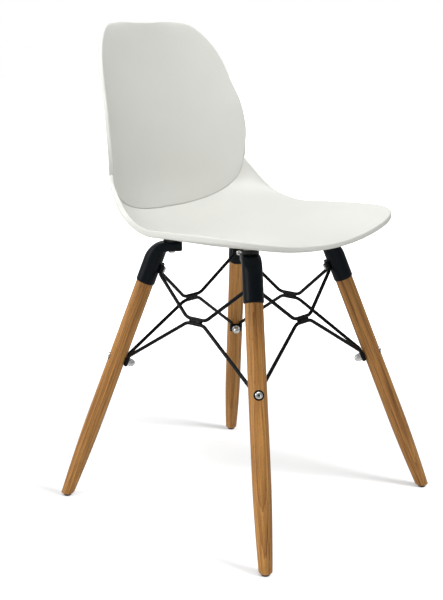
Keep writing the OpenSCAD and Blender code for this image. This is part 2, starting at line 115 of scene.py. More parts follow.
def leg_frame(corner, z=0.0):
    """Local z runs up the leg's axis and local x points outwards, from the axis at height z."""
    sx, sy = CORNERS[corner]
    axis = Vector((AXIS.x * sx, AXIS.y * sy, AXIS.z))
    across = UP.cross(Vector((PLAN.x * sx, PLAN.y * sy, 0)))
    turn = Matrix((across.cross(axis), across, axis)).transposed()
    origin = Vector((FOOT.x * sx, FOOT.y * sy, 0)) + axis * (z / axis.z)
    return Matrix.Translation(origin) @ turn.to_4x4()


def bolt_frame(corner, z, out, inward=False):
    """Local z runs along a bolt through the leg, from a face that stands out from the leg's axis."""
    turn = Matrix.Rotation(-QUARTER if inward else QUARTER, 4, "Y")
    return leg_frame(corner, z) @ Matrix.Translation((out, 0, 0)) @ turn


def socket_frame(corner):
    """Upright from the floor: local x points outwards, and the axis is at x = 0 at the socket's rim."""
    sx, sy = CORNERS[corner]
    plan = Vector((PLAN.x * sx, PLAN.y * sy, 0))
    rim = FOOT + AXIS * (RIM_Z / AXIS.z)
    turn = Matrix((plan, UP.cross(plan), UP)).transposed()
    return Matrix.Translation((rim.x * sx, rim.y * sy, 0)) @ turn.to_4x4()


def seat_bolt_frame(corner, z):
    """Upright on the seat bolt's line at height z, turned like the socket."""
    sx, sy = CORNERS[corner]
    turn = socket_frame(corner).to_3x3().to_4x4()
    return Matrix.Translation((SEAT_BOLT.x * sx, SEAT_BOLT.y * sy, z)) @ turn


# ---- Building pieces ----
class Shape:
    """The points and faces of one piece."""

    def __init__(self):
        self.points = []
        self.faces = []

    def add(self, points, faces, matrix=None):
        start = len(self.points)
        self.points += [matrix @ Vector(p) if matrix else Vector(p) for p in points]
        self.faces += [[start + i for i in face] for face in faces]

    def skin(self, rings, matrix=None, caps=True, loop=False):
        """Joins rings of equally many points, and closes the two ends or joins the last ring to the first."""
        n = len(rings[0])
        points = [p for ring in rings for p in ring]
        pairs = [(i, i + 1) for i in range(len(rings) - 1)]
        if loop:
            pairs.append((len(rings) - 1, 0))
        faces = []
        for low, high in pairs:
            for j in range(n):
                k = (j + 1) % n
                faces.append([low * n + j, low * n + k, high * n + k, high * n + j])
        if caps and not loop:
            for ring, turned in ((0, True), (len(rings) - 1, False)):
                middle = len(points)
                points.append(sum((Vector(p) for p in rings[ring]), Vector()) / n)
                for j in range(n):
                    face = [ring * n + j, ring * n + (j + 1) % n, middle]
                    faces.append(face[::-1] if turned else face)
        self.add(points, faces, matrix)

    def plain_mesh(self, name):
        mesh = bpy.data.meshes.new(name)
        mesh.from_pydata(self.points, [], self.faces)
        return mesh

    def clean_mesh(self, name, join=1e-7, least=1e-8):
        """A mesh with near points joined, the shortest edges removed and its faces turned outwards."""
        mesh = self.plain_mesh(name)
        made = bmesh.new()
        made.from_mesh(mesh)
        bmesh.ops.remove_doubles(made, verts=made.verts, dist=join)
        bmesh.ops.dissolve_degenerate(made, edges=made.edges, dist=least)
        bmesh.ops.recalc_face_normals(made, faces=made.faces)
        made.to_mesh(mesh)
        made.free()
        return mesh

    def piece(self, name, material, slot, replaces, sharp):
        finish_piece(name, self.clean_mesh(name), material, replaces, sharp)


def finish_piece(name, mesh, material, replaces, sharp):
    """Links a piece that takes the place of CAD nodes, with edges over sharp degrees left crisp."""
    for polygon in mesh.polygons:
        polygon.use_smooth = True
    mesh.set_sharp_from_angle(angle=math.radians(sharp))
    mesh.materials.clear()
    mesh.materials.append(material)
    made = bpy.data.objects.new(name, mesh)
    bpy.context.scene.collection.objects.link(made)
    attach(made, "root")
    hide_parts(*replaces)


def circle(r, z=0.0, n=48):
    return [(r * math.cos(2 * math.pi * i / n), r * math.sin(2 * math.pi * i / n), z) for i in range(n)]


def hexagon(across, z, n=72, within=1.0):
    """A hexagon's ring, kept inside a circle of radius within."""
    ring = []
    for i in range(n):
        a = 2 * math.pi * i / n
        r = min(across / 2 / math.cos((a + math.pi / 6) % (math.pi / 3) - math.pi / 6), within)
        ring.append((r * math.cos(a), r * math.sin(a), z))
    return ring


def arc(mid, r, start, end, steps):
    """Points (x, y) round a centre, from one angle to another."""
    return [(mid[0] + r * math.cos(start + (end - start) * i / steps),
             mid[1] + r * math.sin(start + (end - start) * i / steps)) for i in range(steps + 1)]


def lerp(a, b, t):
    return a + (b - a) * t


def smooth(t):
    t = np.clip(t, 0, 1)
    return t * t * (3 - 2 * t)


# ---- Materials ----
def socket_value(node, name, value):
    if isinstance(value, bpy.types.NodeSocket):
        node.id_data.links.new(value, node.inputs[name])
    else:
        node.inputs[name].default_value = value


def add_node(tree, kind, inputs=None, **settings):
    node = tree.nodes.new(kind)
    for key, value in settings.items():
        setattr(node, key, value)
    for name, value in (inputs or {}).items():
        socket_value(node, name, value)
    return node


def ramp(tree, value, low, high):
    """0 where value is at low or under, and 1 where it is at high or over."""
    inputs = {"Value": value, "From Min": low, "From Max": high}
    return add_node(tree, "ShaderNodeMapRange", inputs).outputs[0]


def blend_colour(tree, share, first, second, how="MIX"):
    node = add_node(tree, "ShaderNodeMix", data_type="RGBA", blend_type=how)
    socket_value(node, 0, share)
    socket_value(node, 6, first)
    socket_value(node, 7, second)
    return node.outputs[2]


def maths(tree, how, first, second):
    node = add_node(tree, "ShaderNodeMath", operation=how)
    socket_value(node, 0, first)
    socket_value(node, 1, second)
    return node.outputs[0]


def cloud(tree, place, scale, detail=3.0, rough=0.5, stretch=None):
    """A soft noise value, where stretch gives its scale along each axis."""
    if stretch:
        place = add_node(tree, "ShaderNodeMapping", {"Vector": place, "Scale": stretch}).outputs[0]
    inputs = {"Vector": place, "Scale": scale, "Detail": detail, "Roughness": rough}
    return add_node(tree, "ShaderNodeTexNoise", inputs).outputs[0]


def new_group(name, inputs, outputs):
    """A shader node group with named sockets: {name: (kind, default)} in, and {name: kind} out."""
    group = bpy.data.node_groups.new(name, "ShaderNodeTree")
    for key, (kind, default) in inputs.items():
        made = group.interface.new_socket(key, in_out="INPUT", socket_type="NodeSocket" + kind)
        made.default_value = default
    for key, kind in outputs.items():
        group.interface.new_socket(key, in_out="OUTPUT", socket_type="NodeSocket" + kind)
    return group, group.nodes.new("NodeGroupInput").outputs, group.nodes.new("NodeGroupOutput").inputs


PLACE = ("Vector", (0, 0, 0))


def moulded_grain():
    """The fine spark-eroded grain of a moulded face, with a slow waviness under it."""
    group, given, out = new_group(
        "moulded grain", {"Place": PLACE, "Grain": ("Float", 1400.0), "Wave": ("Float", 22.0)},
        {"Height": "Float"})
    grain = cloud(group, given["Place"], given["Grain"], 2.0)
    wave = cloud(group, given["Place"], given["Wave"], 2.0)
    total = maths(group, "MULTIPLY_ADD", wave, 6.0)
    group.links.new(grain, total.node.inputs[2])
    group.links.new(total, out["Height"])
    return group


def handling_marks():
    """Where a surface has been touched and wiped: broad soft patches broken by fine streaks."""
    group, given, out = new_group(
        "handling marks", {"Place": PLACE, "Patches": ("Float", 9.0), "Streaks": ("Float", 160.0)},
        {"Mask": "Float"})
    patch = cloud(group, given["Place"], given["Patches"], 4.0)
    patch.node.inputs["Distortion"].default_value = 0.6
    streak = cloud(group, given["Place"], given["Streaks"], 5.0)
    both = maths(group, "MULTIPLY", ramp(group, patch, 0.42, 0.66), ramp(group, streak, 0.3, 0.75))
    group.links.new(both, out["Mask"])
    return group


def edge_wear_and_highlight():
    """Corners and rims, which the materials lighten: a painted highlight along them, partly rubbing wear."""
    group, given, out = new_group(
        "edge wear and painted highlight", {"Place": PLACE, "Start": ("Float", 0.52), "Full": ("Float", 0.6)}, {"Mask": "Float"})
    point = add_node(group, "ShaderNodeNewGeometry").outputs["Pointiness"]
    edge = ramp(group, point, given["Start"], given["Full"])
    broken = ramp(group, cloud(group, given["Place"], 420.0, 4.0), 0.35, 0.6)
    group.links.new(maths(group, "MULTIPLY", edge, broken), out["Mask"])
    return group


def coat_skin():
    """The orange peel of a sprayed coat."""
    group, given, out = new_group(
        "coat skin", {"Place": PLACE, "Peel": ("Float", 650.0)}, {"Height": "Float", "Patch": "Float"})
    peel = cloud(group, given["Place"], given["Peel"], 2.0)
    group.links.new(peel, out["Height"])
    group.links.new(ramp(group, cloud(group, given["Place"], 45.0, 3.0), 0.3, 0.7), out["Patch"])
    return group


def beech_grain():
    """Straight-grained beech: growth bands cut lengthwise, fibres, and the short dark flecks of its rays."""
    group, given, out = new_group(
        "beech grain",
        {"Place": PLACE, "Pale": ("Color", (1, 1, 1, 1)), "Deep": ("Color", (0, 0, 0, 1)),
         "Fleck": ("Color", (0, 0, 0, 1))},
        {"Color": "Color", "Fibre": "Float", "Height": "Float"})
    place = given["Place"]
    wander = cloud(group, place, 1.0, 2.0, stretch=(9, 9, 5))
    bent = add_node(group, "ShaderNodeVectorMath", {0: place}, operation="MULTIPLY_ADD")
    bent.inputs[1].default_value = (1, 1, 0.02)
    shift = add_node(group, "ShaderNodeCombineXYZ", {"X": maths(group, "MULTIPLY", wander, 0.010)}).outputs[0]
    group.links.new(shift, bent.inputs[2])
    rings = {"Vector": bent.outputs[0], "Scale": 105.0, "Distortion": 2.6, "Detail": 3.0, "Detail Scale": 1.6}
    bands = add_node(group, "ShaderNodeTexWave", rings, wave_profile="SAW").outputs[1]
    fibre = cloud(group, place, 1.0, 5.0, 0.6, stretch=(620, 620, 16))
    streak = cloud(group, place, 1.0, 3.0, 0.55, stretch=(150, 150, 3.5))
    slow = cloud(group, place, 1.0, 2.0, stretch=(40, 40, 6))
    tone = maths(group, "MULTIPLY_ADD", bands, 0.17)
    group.links.new(maths(group, "MULTIPLY", streak, 0.62), tone.node.inputs[2])
    tone = maths(group, "ADD", tone, maths(group, "MULTIPLY", fibre, 0.46))
    tone = maths(group, "ADD", tone, maths(group, "MULTIPLY", slow, 0.22))
    wood = blend_colour(group, ramp(group, tone, 0.56, 0.92), given["Pale"], given["Deep"])
    flecks = cloud(group, place, 1.0, 1.0, stretch=(1150, 1150, 170))
    rays = ramp(group, flecks, 0.655, 0.72)
    wood = blend_colour(group, maths(group, "MULTIPLY", rays, 0.55), wood, given["Fleck"])
    group.links.new(wood, out["Color"])
    group.links.new(fibre, out["Fibre"])
    group.links.new(maths(group, "SUBTRACT", fibre, rays), out["Height"])
    return group


GRAIN, MARKS, EDGE_WEAR_AND_HIGHLIGHT, SKIN, BEECH = moulded_grain(), handling_marks(), edge_wear_and_highlight(), coat_skin(), beech_grain()


def use(tree, group, **inputs):
    """Places a node group in a material, and returns its outputs."""
    node = tree.nodes.new("ShaderNodeGroup")
    node.node_tree = group
    for name, value in inputs.items():
        socket_value(node, name, value)
    return node.outputs


def new_material(name, attribute=None, **plain):
    """A material with one Principled shader, its node tree, its shader and the place to pattern by."""
    material = bpy.data.materials.new(name)
    material.use_nodes = True
    tree = material.node_tree
    tree.nodes.clear()
    shader = add_node(tree, "ShaderNodeBsdfPrincipled", {k.replace("_", " "): v for k, v in plain.items()})
    out = tree.nodes.new("ShaderNodeOutputMaterial")
    tree.links.new(shader.outputs[0], out.inputs[0])
    if attribute:
        place = add_node(tree, "ShaderNodeAttribute", attribute_name=attribute).outputs["Vector"]
    else:
        place = tree.nodes.new("ShaderNodeTexCoord").outputs["Object"]
    return material, tree, shader, place


def dress(tree, shader, colour, rough, height, strength, distance):
    """Links the colour and roughness, and a bump of the given strength and depth in metres."""
    bump = add_node(tree, "ShaderNodeBump", {"Height": height, "Strength": strength, "Distance": distance})
    tree.links.new(colour, shader.inputs["Base Color"])
    tree.links.new(rough, shader.inputs["Roughness"])
    tree.links.new(bump.outputs[0], shader.inputs["Normal"])


def between(tree, share, low, high):
    """A value that runs from low to high with share."""
    inputs = {"Value": share, "To Min": low, "To Max": high}
    return add_node(tree, "ShaderNodeMapRange", inputs).outputs[0]


def white_shell():
    material, tree, shader, place = new_material("white moulded shell", Specular_IOR_Level=0.42)
    marks = use(tree, MARKS, Place=place)["Mask"]
    edge = use(tree, EDGE_WEAR_AND_HIGHLIGHT, Place=place, Start=0.53, Full=0.62)["Mask"]
    tone = ramp(tree, cloud(tree, place, 5.0, 3.0), 0.35, 0.65)
    white = blend_colour(tree, tone, (0.80, 0.80, 0.755, 1), (0.83, 0.83, 0.795, 1))
    white = blend_colour(tree, maths(tree, "MULTIPLY", marks, 0.10), white, (0.66, 0.65, 0.60, 1))
    # Painted highlight: the rims and corners are lightened towards near white.
    white = blend_colour(tree, maths(tree, "MULTIPLY", edge, 0.25), white, (0.90, 0.90, 0.88, 1))
    height = use(tree, GRAIN, Place=place)["Height"]
    dress(tree, shader, white, between(tree, marks, 0.36, 0.46), height, 0.10, 0.00025)
    return material


def beech():
    material, tree, shader, place = new_material(
        "honey beech", "leg_place", Coat_Weight=0.12, Coat_Roughness=0.28, Specular_IOR_Level=0.25)
    wood = use(tree, BEECH, Place=place, Pale=(0.67, 0.33, 0.093, 1), Deep=(0.22, 0.083, 0.018, 1),
               Fleck=(0.07, 0.026, 0.007, 1))
    marks = use(tree, MARKS, Place=place, Patches=30.0, Streaks=300.0)["Mask"]
    edge = use(tree, EDGE_WEAR_AND_HIGHLIGHT, Place=place, Start=0.53, Full=0.60)["Mask"]
    colour = blend_colour(tree, maths(tree, "MULTIPLY", marks, 0.22), wood["Color"], (0.30, 0.145, 0.055, 1))
    # Painted highlight: edges and corners lightened to a pale tan, partly rubbing wear.
    colour = blend_colour(tree, maths(tree, "MULTIPLY", edge, 0.5), colour, (0.62, 0.40, 0.21, 1))
    dress(tree, shader, colour, between(tree, wood["Fibre"], 0.34, 0.56), wood["Height"], 0.22, 0.00035)
    return material


def coated(name, deep, worn, smooth_rough, dull_rough, peel, strength, edge_sheen=0.35):
    """Black powder coat over steel or cast metal, with a painted highlight along its edges."""
    material, tree, shader, place = new_material(name, Specular_IOR_Level=0.14)
    skin = use(tree, SKIN, Place=place, Peel=peel)
    marks = use(tree, MARKS, Place=place, Patches=38.0, Streaks=420.0)["Mask"]
    edge = use(tree, EDGE_WEAR_AND_HIGHLIGHT, Place=place)["Mask"]
    colour = blend_colour(tree, maths(tree, "MULTIPLY", marks, 0.5), deep, worn)
    # Painted highlight: edges and corners lightened to the grey of a soft sheen, partly a worn coat.
    colour = blend_colour(tree, maths(tree, "MULTIPLY", edge, edge_sheen), colour, (0.045, 0.048, 0.052, 1))
    rough = between(tree, skin["Patch"], smooth_rough, dull_rough)
    dress(tree, shader, colour, rough, skin["Height"], strength, 0.0002)
    return material


def plated(name, bright, dull, low_rough, high_rough):
    """Bright zinc or brass, with painted shade darkening its hollows to near black."""
    material, tree, shader, place = new_material(name, Metallic=1.0)
    marks = use(tree, MARKS, Place=place, Patches=120.0, Streaks=900.0)["Mask"]
    colour = blend_colour(tree, marks, bright, dull)
    point = add_node(tree, "ShaderNodeNewGeometry").outputs["Pointiness"]
    # Painted shade: hollows such as key sockets and thread grooves turn near black.
    colour = blend_colour(tree, ramp(tree, point, 0.47, 0.40), colour, (0.03, 0.03, 0.03, 1))
    fine = cloud(tree, place, 2600.0, 2.0)
    dress(tree, shader, colour, between(tree, marks, low_rough, high_rough), fine, 0.05, 0.0001)
    return material


def moulded(name, light, dark, low_rough, high_rough):
    """Small moulded trim."""
    material, tree, shader, place = new_material(name, Specular_IOR_Level=0.4)
    marks = use(tree, MARKS, Place=place, Patches=70.0, Streaks=600.0)["Mask"]
    height = use(tree, GRAIN, Place=place, Grain=2200.0, Wave=90.0)["Height"]
    rough = between(tree, marks, low_rough, high_rough)
    dress(tree, shader, blend_colour(tree, marks, light, dark), rough, height, 0.15, 0.0002)
    return material


SHELL = white_shell()
WOOD = beech()
CAST = coated(
    "satin black casting", (0.0018, 0.0045, 0.0078, 1), (0.0045, 0.009, 0.013, 1), 0.30, 0.42,
    peel=700.0, strength=0.16)
WIRE = coated(
    "black coated wire", (0.0015, 0.0018, 0.0022, 1), (0.004, 0.0042, 0.0046, 1), 0.22, 0.34,
    peel=900.0, strength=0.12)
WELDED = coated(
    "coated weld", (0.0015, 0.0018, 0.0022, 1), (0.005, 0.005, 0.0055, 1), 0.22, 0.38,
    peel=480.0, strength=0.5, edge_sheen=0.5)
BLACK_STEEL = coated(
    "black washer", (0.003, 0.003, 0.0035, 1), (0.009, 0.009, 0.010, 1), 0.33, 0.5, peel=1200.0, strength=0.1)
ZINC = plated("bright zinc", (0.80, 0.81, 0.82, 1), (0.50, 0.51, 0.52, 1), 0.07, 0.22)
BRASS = plated("threaded brass", (0.70, 0.52, 0.22, 1), (0.45, 0.31, 0.11, 1), 0.25, 0.4)
# The spacer is real. Its black, with the cup's rim closing the gap up to the shell, stands in for the shade
# under the seat's edge.
SHADE_BLACK_SPACER = moulded("black spacer cup standing in for shade", (0.006, 0.0065, 0.007, 1), (0.012, 0.0125, 0.013, 1), 0.45, 0.6)
NYLON = moulded("dark nylon glide", (0.030, 0.024, 0.020, 1), (0.055, 0.045, 0.038, 1), 0.35, 0.55)


# ---- Shell ----
# Each row runs from the middle line of the shell to its edge, in millimetres and shares:
# [middle y, middle z, edge x as a share of the half width, edge y, edge z, curl, rim depth]
ROW_UNITS = np.array([MM, MM, 1, MM, MM, 1, MM])
SEAT_ROWS = ROW_UNITS * [
    [-198, 482, 0.19, -197, 483, 0, 8],
    [-194, 481, 0.50, -191, 489, 0, 8],
    [-186, 479.5, 0.76, -183, 499, 0, 9],
    [-172, 477, 0.93, -165, 507, 0, 9],
    [-145, 474, 0.993, -132, 511, 0, 10],
    [-95, 470, 1, -80, 510, 0, 11],
    [-30, 467.5, 0.99, -20, 507.5, 0, 11],
    [35, 468, 0.953, 42, 506.5, 0.05, 11],
    [92, 473, 0.887, 92, 525, 0.3, 10],
    [140, 486, 0.825, 132, 562, 0.7, 8],
    [178, 504, 0.783, 146, 580, 1, 7],
]
BACK_ROWS = ROW_UNITS * [
    [178, 504, 0.783, 146, 580, 1, 7],
    [190, 545, 0.806, 143.5, 610, 0.6, 7],
    [196, 595, 0.814, 144.5, 640, 0.2, 7],
    [203, 650, 0.795, 153, 682, 0, 7],
    [212, 705, 0.75, 169, 722, 0, 7],
    [221, 752, 0.693, 186.5, 766, 0, 7],
    [228, 788, 0.61, 203.5, 798, 0, 7],
    [232, 812, 0.49, 220, 821, 0, 7],
    [234, 823, 0.35, 231, 827, 0, 7],
    [234.5, 826.5, 0.19, 234, 828, 0, 7],
]
# The rows where the outline's end turns into its side, and the lengths over which the leaves blend
FRONT_CORNER, TOP_CORNER = 2.7, 6.4
JOIN_L, BACK_LIFT_L = 0.035, 0.05
ACROSS_STEPS, SEAT_STEPS, BACK_STEPS = 44, 84, 64
INSETS = (LIP_R, 0.004, 0.0065, 0.0095)
LIP_SHARES = (1.0, 1.0, 0.5, 0.0)
TABLE_STEPS, END_STEPS = 100, 39


def row_at(rows, v):
    """A smooth curve through the rows, at the places v."""
    v = np.asarray(v, float)
    ends = np.vstack([2 * rows[0] - rows[1], rows, 2 * rows[-1] - rows[-2]])
    i = np.clip(np.floor(v).astype(int), 0, len(rows) - 2)
    t = (v - i)[..., None]
    p0, p1, p2, p3 = (ends[i + k] for k in range(4))
    return (2 * p1 + (p2 - p0) * t + (2 * p0 - 5 * p1 + 4 * p2 - p3) * t ** 2
            + (3 * p1 - p0 - 3 * p2 + p3) * t ** 3) / 2


def face_at(rows, v, u):
    """The shell's face: v runs from the front edge to the top edge, and u from the middle to the side."""
    r = row_at(rows, v)
    bowl = u ** 2.3
    scoop = 1 - np.maximum(1 - u ** 2.4, 0) ** (1 / 2.4)
    climb = (1 - r[..., 5]) * bowl + r[..., 5] * scoop
    return np.stack([u * r[..., 2] * SHELL_HALF_W, r[..., 0] + (r[..., 3] - r[..., 0]) * u ** 2.1,
                     r[..., 1] + (r[..., 4] - r[..., 1]) * climb], -1)


def unit(a):
    return a / np.linalg.norm(a, axis=-1, keepdims=True)


def face_out(rows, v, u):
    """The direction out of the face, towards the sitter."""
    e, n = 0.02, len(rows) - 1
    before, after = np.clip(v - e, 0, n), np.clip(v + e, 0, n)
    across = face_at(rows, v, np.minimum(u + e, 1)) - face_at(rows, v, np.maximum(u - e, 0))
    along = face_at(rows, after, u) - face_at(rows, before, u)
    line = face_at(rows, after, 0 * u) - face_at(rows, before, 0 * u)
    return unit(np.cross(unit(across), unit(along) + 1.5 * unit(line)))


class Leaf:
    """The seat leaf or the back leaf laid out flat: a runs out from its middle line, and s along it."""

    def __init__(self, rows, is_back):
        self.rows, self.is_back = rows, is_back
        self.v = np.linspace(0, len(rows) - 1, 600)
        middle = face_at(rows, self.v, 0 * self.v)
        self.s = np.concatenate([[0], np.cumsum(np.linalg.norm(np.diff(middle, axis=0), axis=1))])
        self.u = np.sin(np.linspace(0, QUARTER, TABLE_STEPS))
        self.width = self.girth(self.v)[:, -1]

    def girth(self, v):
        """The distance from the middle line to each u in the table, for each v."""
        v = np.atleast_1d(v)
        points = face_at(self.rows, v[:, None] + 0 * self.u, self.u + 0 * v[:, None])
        steps = np.linalg.norm(np.diff(points, axis=1), axis=2)
        return np.concatenate([np.zeros((len(v), 1)), np.cumsum(steps, axis=1)], axis=1)

    def place(self, flat):
        """(v, u) of flat points (a, s)."""
        flat = flat.reshape(-1, 2)
        v = np.interp(flat[:, 1], self.s, self.v)
        table = self.girth(v)
        a = np.clip(flat[:, 0], 0, table[:, -1])
        k = np.clip((table < a[:, None]).sum(axis=1), 1, TABLE_STEPS - 1)
        row = np.arange(len(v))
        low, high = table[row, k - 1], table[row, k]
        t = (a - low) / np.maximum(high - low, 1e-12)
        return v, lerp(self.u[k - 1], self.u[k], t)

    def to_step(self, s):
        """The distance from the step line."""
        return s if self.is_back else self.s[-1] - s

    def edge_way(self):
        """The way out of the face at the end of the step line."""
        v = np.zeros(1) if self.is_back else np.full(1, len(self.rows) - 1.0)
        return face_out(self.rows, v, np.ones(1))[0]

    def solid(self, flat, lip):
        """The points of both sides, and the way from one to the other: lip is 0 inside and 1 at the rim."""
        v, u = self.place(flat)
        face, out = face_at(self.rows, v, u), face_out(self.rows, v, u)
        row = row_at(self.rows, v)
        s = flat.reshape(-1, 2)[:, 1]
        hang = out.copy()
        if self.is_back:
            rise = STEP_ROUND * np.sqrt(1 - (1 - np.minimum(s / STEP_ROUND, 1)) ** 2)
            face_lift = STEP_H - STEP_ROUND + rise
            back_lift = STEP_H * smooth(s / BACK_LIFT_L)
        else:
            face_lift = back_lift = 0 * s
            hang[:, 0] *= 1 - (1 - row[:, 5]) * u ** 6
            hang = unit(hang)
        share = (smooth(1 - self.to_step(s) / JOIN_L) * u ** 6)[:, None]
        hang = unit(lerp(hang, JOIN_WAY, share))
        deep = SHELL_T + (row[:, 6] - SHELL_T) * lip
        shape = flat.shape[:-1] + (3,)
        top = face + face_lift[:, None] * out
        under = face + back_lift[:, None] * out - deep[:, None] * hang
        return top.reshape(shape), under.reshape(shape), hang.reshape(shape)

    def outline(self):
        """The flat outline of the right half, from the middle of the free end to the step, in that order."""
        side = np.stack([self.width, self.s], -1)
        if self.is_back:
            side = side[::-1]
        end = np.linspace((0, side[0, 1]), side[0], END_STEPS + 1)[:-1]
        return np.vstack([end, side])


SEAT_LEAF, BACK_LEAF = Leaf(SEAT_ROWS, False), Leaf(BACK_ROWS, True)
JOIN_WAY = unit(SEAT_LEAF.edge_way() + BACK_LEAF.edge_way())


def resample(line, distances):
    """Points at the given distances along a line."""
    run = np.concatenate([[0], np.cumsum(np.linalg.norm(np.diff(line, axis=0), axis=1))])
    return np.stack([np.interp(distances, run, line[:, k]) for k in range(2)], -1)


def leaf_loops(leaf, steps, corner_v):
    """The outline's points and the same points moved in by each of INSETS: end steps, then side steps."""
    line = leaf.outline()
    run = np.concatenate([[0], np.cumsum(np.linalg.norm(np.diff(line, axis=0), axis=1))])
    corner_s = np.interp(corner_v, leaf.v, leaf.s)
    side_start = END_STEPS + 1
    corner = run[side_start + np.argmin(abs(line[side_start:, 1] - corner_s))]
    at = np.linspace(0, corner, ACROSS_STEPS + 1)
    if leaf.is_back:
        step_rows = STEP_ROUND * np.array([1.0, 0.6, 0.28, 0.08, 0.0])
        side = np.linspace(corner, run[-1] - STEP_ROUND, steps - 3)[1:-1]
        side = np.concatenate([side, run[-1] - step_rows])
    else:
        side = np.linspace(corner, run[-1], steps + 1)[1:]
    at = np.concatenate([at, side])
    edge = resample(line, at)
    probe = 0.004
    ahead, behind = np.minimum(at + probe, run[-1]), np.maximum(at - probe, 0)
    tangent = unit(resample(line, ahead) - resample(line, behind))
    normal = np.stack([tangent[:, 1], -tangent[:, 0]], -1)
    if leaf.is_back:
        normal = -normal
    normal[0] = (0, 1 if leaf.is_back else -1)
    near_step = abs(edge[:, 1] - (0 if leaf.is_back else leaf.s[-1])) < 0.02
    normal[near_step] = (1, 0)
    edge[0, 0] = 0
    return edge, [edge - d * normal for d in INSETS]


def coons(end, side, step_line, middle):
    """A grid inside four flat lines, with rows from the free end to the step."""
    rows, columns = len(side), len(end)
    t = np.linspace(0, 1, columns)[None, :, None]
    k = np.linspace(0, 1, rows)[:, None, None]
    corners = (1 - t) * ((1 - k) * end[0] + k * step_line[0]) + t * ((1 - k) * end[-1] + k * step_line[-1])
    along = (1 - k) * end[None] + k * step_line[None]
    across = (1 - t) * middle[:, None] + t * side[:, None]
    return along + across - corners


def leaf_grid(leaf, loop):
    """The grid inside the innermost loop, and its steps from the free end to the step line."""
    end, side = loop[:ACROSS_STEPS + 1], loop[ACROSS_STEPS:]
    step_line = np.linspace((0, side[-1, 1]), side[-1], ACROSS_STEPS + 1)
    share = (side[:, 1] - side[0, 1]) / (side[-1, 1] - side[0, 1])
    middle = np.stack([0 * share, lerp(end[0, 1], side[-1, 1], share)], -1)
    if leaf.is_back:
        close = side[:, 1] < 2 * STEP_ROUND
        middle[close, 1] = side[close, 1]
    return coons(end, side, step_line, middle)


def shell_half():
    """Points and faces of the right half of the shell."""
    points, faces = [], []

    def store(block):
        start = len(points)
        flat = block.reshape(-1, 3)
        points.extend(flat)
        return start + np.arange(len(flat)).reshape(block.shape[:-1])

    def join(a, b):
        for i in range(len(a) - 1):
            faces.append([a[i], a[i + 1], b[i + 1], b[i]])

    loops, step_rows = [], []
    for leaf, steps, corner in ((SEAT_LEAF, SEAT_STEPS, FRONT_CORNER), (BACK_LEAF, BACK_STEPS, TOP_CORNER)):
        edge, insets = leaf_loops(leaf, steps, corner)
        grid = leaf_grid(leaf, insets[-1])
        face, under, _ = leaf.solid(grid, np.zeros(grid.shape[:2]).ravel())
        face_ids, under_ids = store(face), store(under)
        for ids in (face_ids, under_ids):
            for k in range(len(ids) - 1):
                join(ids[k], ids[k + 1])
        step_rows.append((face_ids[-1], under_ids[-1]))
        grid_loop = [np.concatenate([ids[0], ids[1:, -1]]) for ids in (face_ids, under_ids)]
        chain = [grid_loop[0]]
        for inset, lip in list(zip(insets, LIP_SHARES))[-2::-1]:
            chain.append(store(leaf.solid(inset, np.full(len(inset), lip))[0]))
        top_edge, low_edge, hang = leaf.solid(edge, np.ones(len(edge)))
        top_in, low_in, _ = leaf.solid(insets[0], np.ones(len(edge)))
        for turn in np.linspace(0, QUARTER, 5)[1:]:
            chain.append(store(lerp(top_in, top_edge, math.sin(turn)) - LIP_R * (1 - math.cos(turn)) * hang))
        high, low = top_edge - LIP_R * hang, low_edge + LIP_FOOT_R * hang
        chain.append(store((high + low) / 2))
        foot_in = lerp(low_edge, low_in, LIP_FOOT_R / LIP_R)
        for turn in np.linspace(0, QUARTER, 4):
            way = lerp(foot_in - low_edge, 0 * foot_in, math.cos(turn))
            chain.append(store(low_edge + way + LIP_FOOT_R * (1 - math.sin(turn)) * hang))
        for inset, lip in list(zip(insets, LIP_SHARES))[1:-1]:
            chain.append(store(leaf.solid(inset, np.full(len(inset), lip))[1]))
        chain.append(grid_loop[1])
        for a, b in zip(chain, chain[1:]):
            join(a, b)
        loops.append(chain)
    for k in range(2):
        join(step_rows[0][k], step_rows[1][k])
    for k in range(len(loops[0]) - 1):
        faces.append([loops[0][k][-1], loops[1][k][-1], loops[1][k + 1][-1], loops[0][k + 1][-1]])
    return np.array(points), faces


def boss_rings(points, middle):
    """A round boss that holds the insert, flares into the shell's underside and ends just inside it."""
    near = points[np.hypot(points[:, 0] - middle[0], points[:, 1] - middle[1]) < 0.016]
    near = near[near[:, 2] < near[:, 2].mean()]
    table = np.c_[np.ones(len(near)), near[:, 0] - middle[0], near[:, 1] - middle[1]]
    level, slope_x, slope_y = np.linalg.lstsq(table, near[:, 2], rcond=None)[0]
    rings = [[(x + middle[0], y + middle[1], BOSS_Z + z) for x, y, z in circle(r, z)]
             for r, z in ((INSERT_R, 0.0075), (INSERT_R, 0), (0.0104, 0), (0.0108, 0.0003), (0.011, 0.001))]
    for r, gap in ((0.0110, 0.0014), (0.0114, 0.0007), (0.0125, 0.0002), (0.0140, -0.0012)):
        rings.append([(x + middle[0], y + middle[1], level + slope_x * x + slope_y * y - gap)
                      for x, y, _ in circle(r)])
    return rings


def build_shell():
    """The two halves of the shell and its four bosses, as one piece."""
    points, faces = shell_half()
    mirror = points * (-1, 1, 1)
    skin, bosses = Shape(), Shape()
    skin.add(points, faces)
    skin.add(mirror, [face[::-1] for face in faces])
    for sx, sy in CORNERS.values():
        bosses.skin(boss_rings(np.vstack([points, mirror]), (SEAT_BOLT.x * sx, SEAT_BOLT.y * sy)))
    mesh = skin.clean_mesh("seat_shell_moulding", join=2e-6, least=1e-7)
    made = bmesh.new()
    made.from_mesh(bosses.clean_mesh("bosses"))
    made.from_mesh(mesh)
    made.to_mesh(mesh)
    made.free()
    finish_piece("seat_shell_moulding", mesh, SHELL, ["seat_shell"], sharp=40)


build_shell()


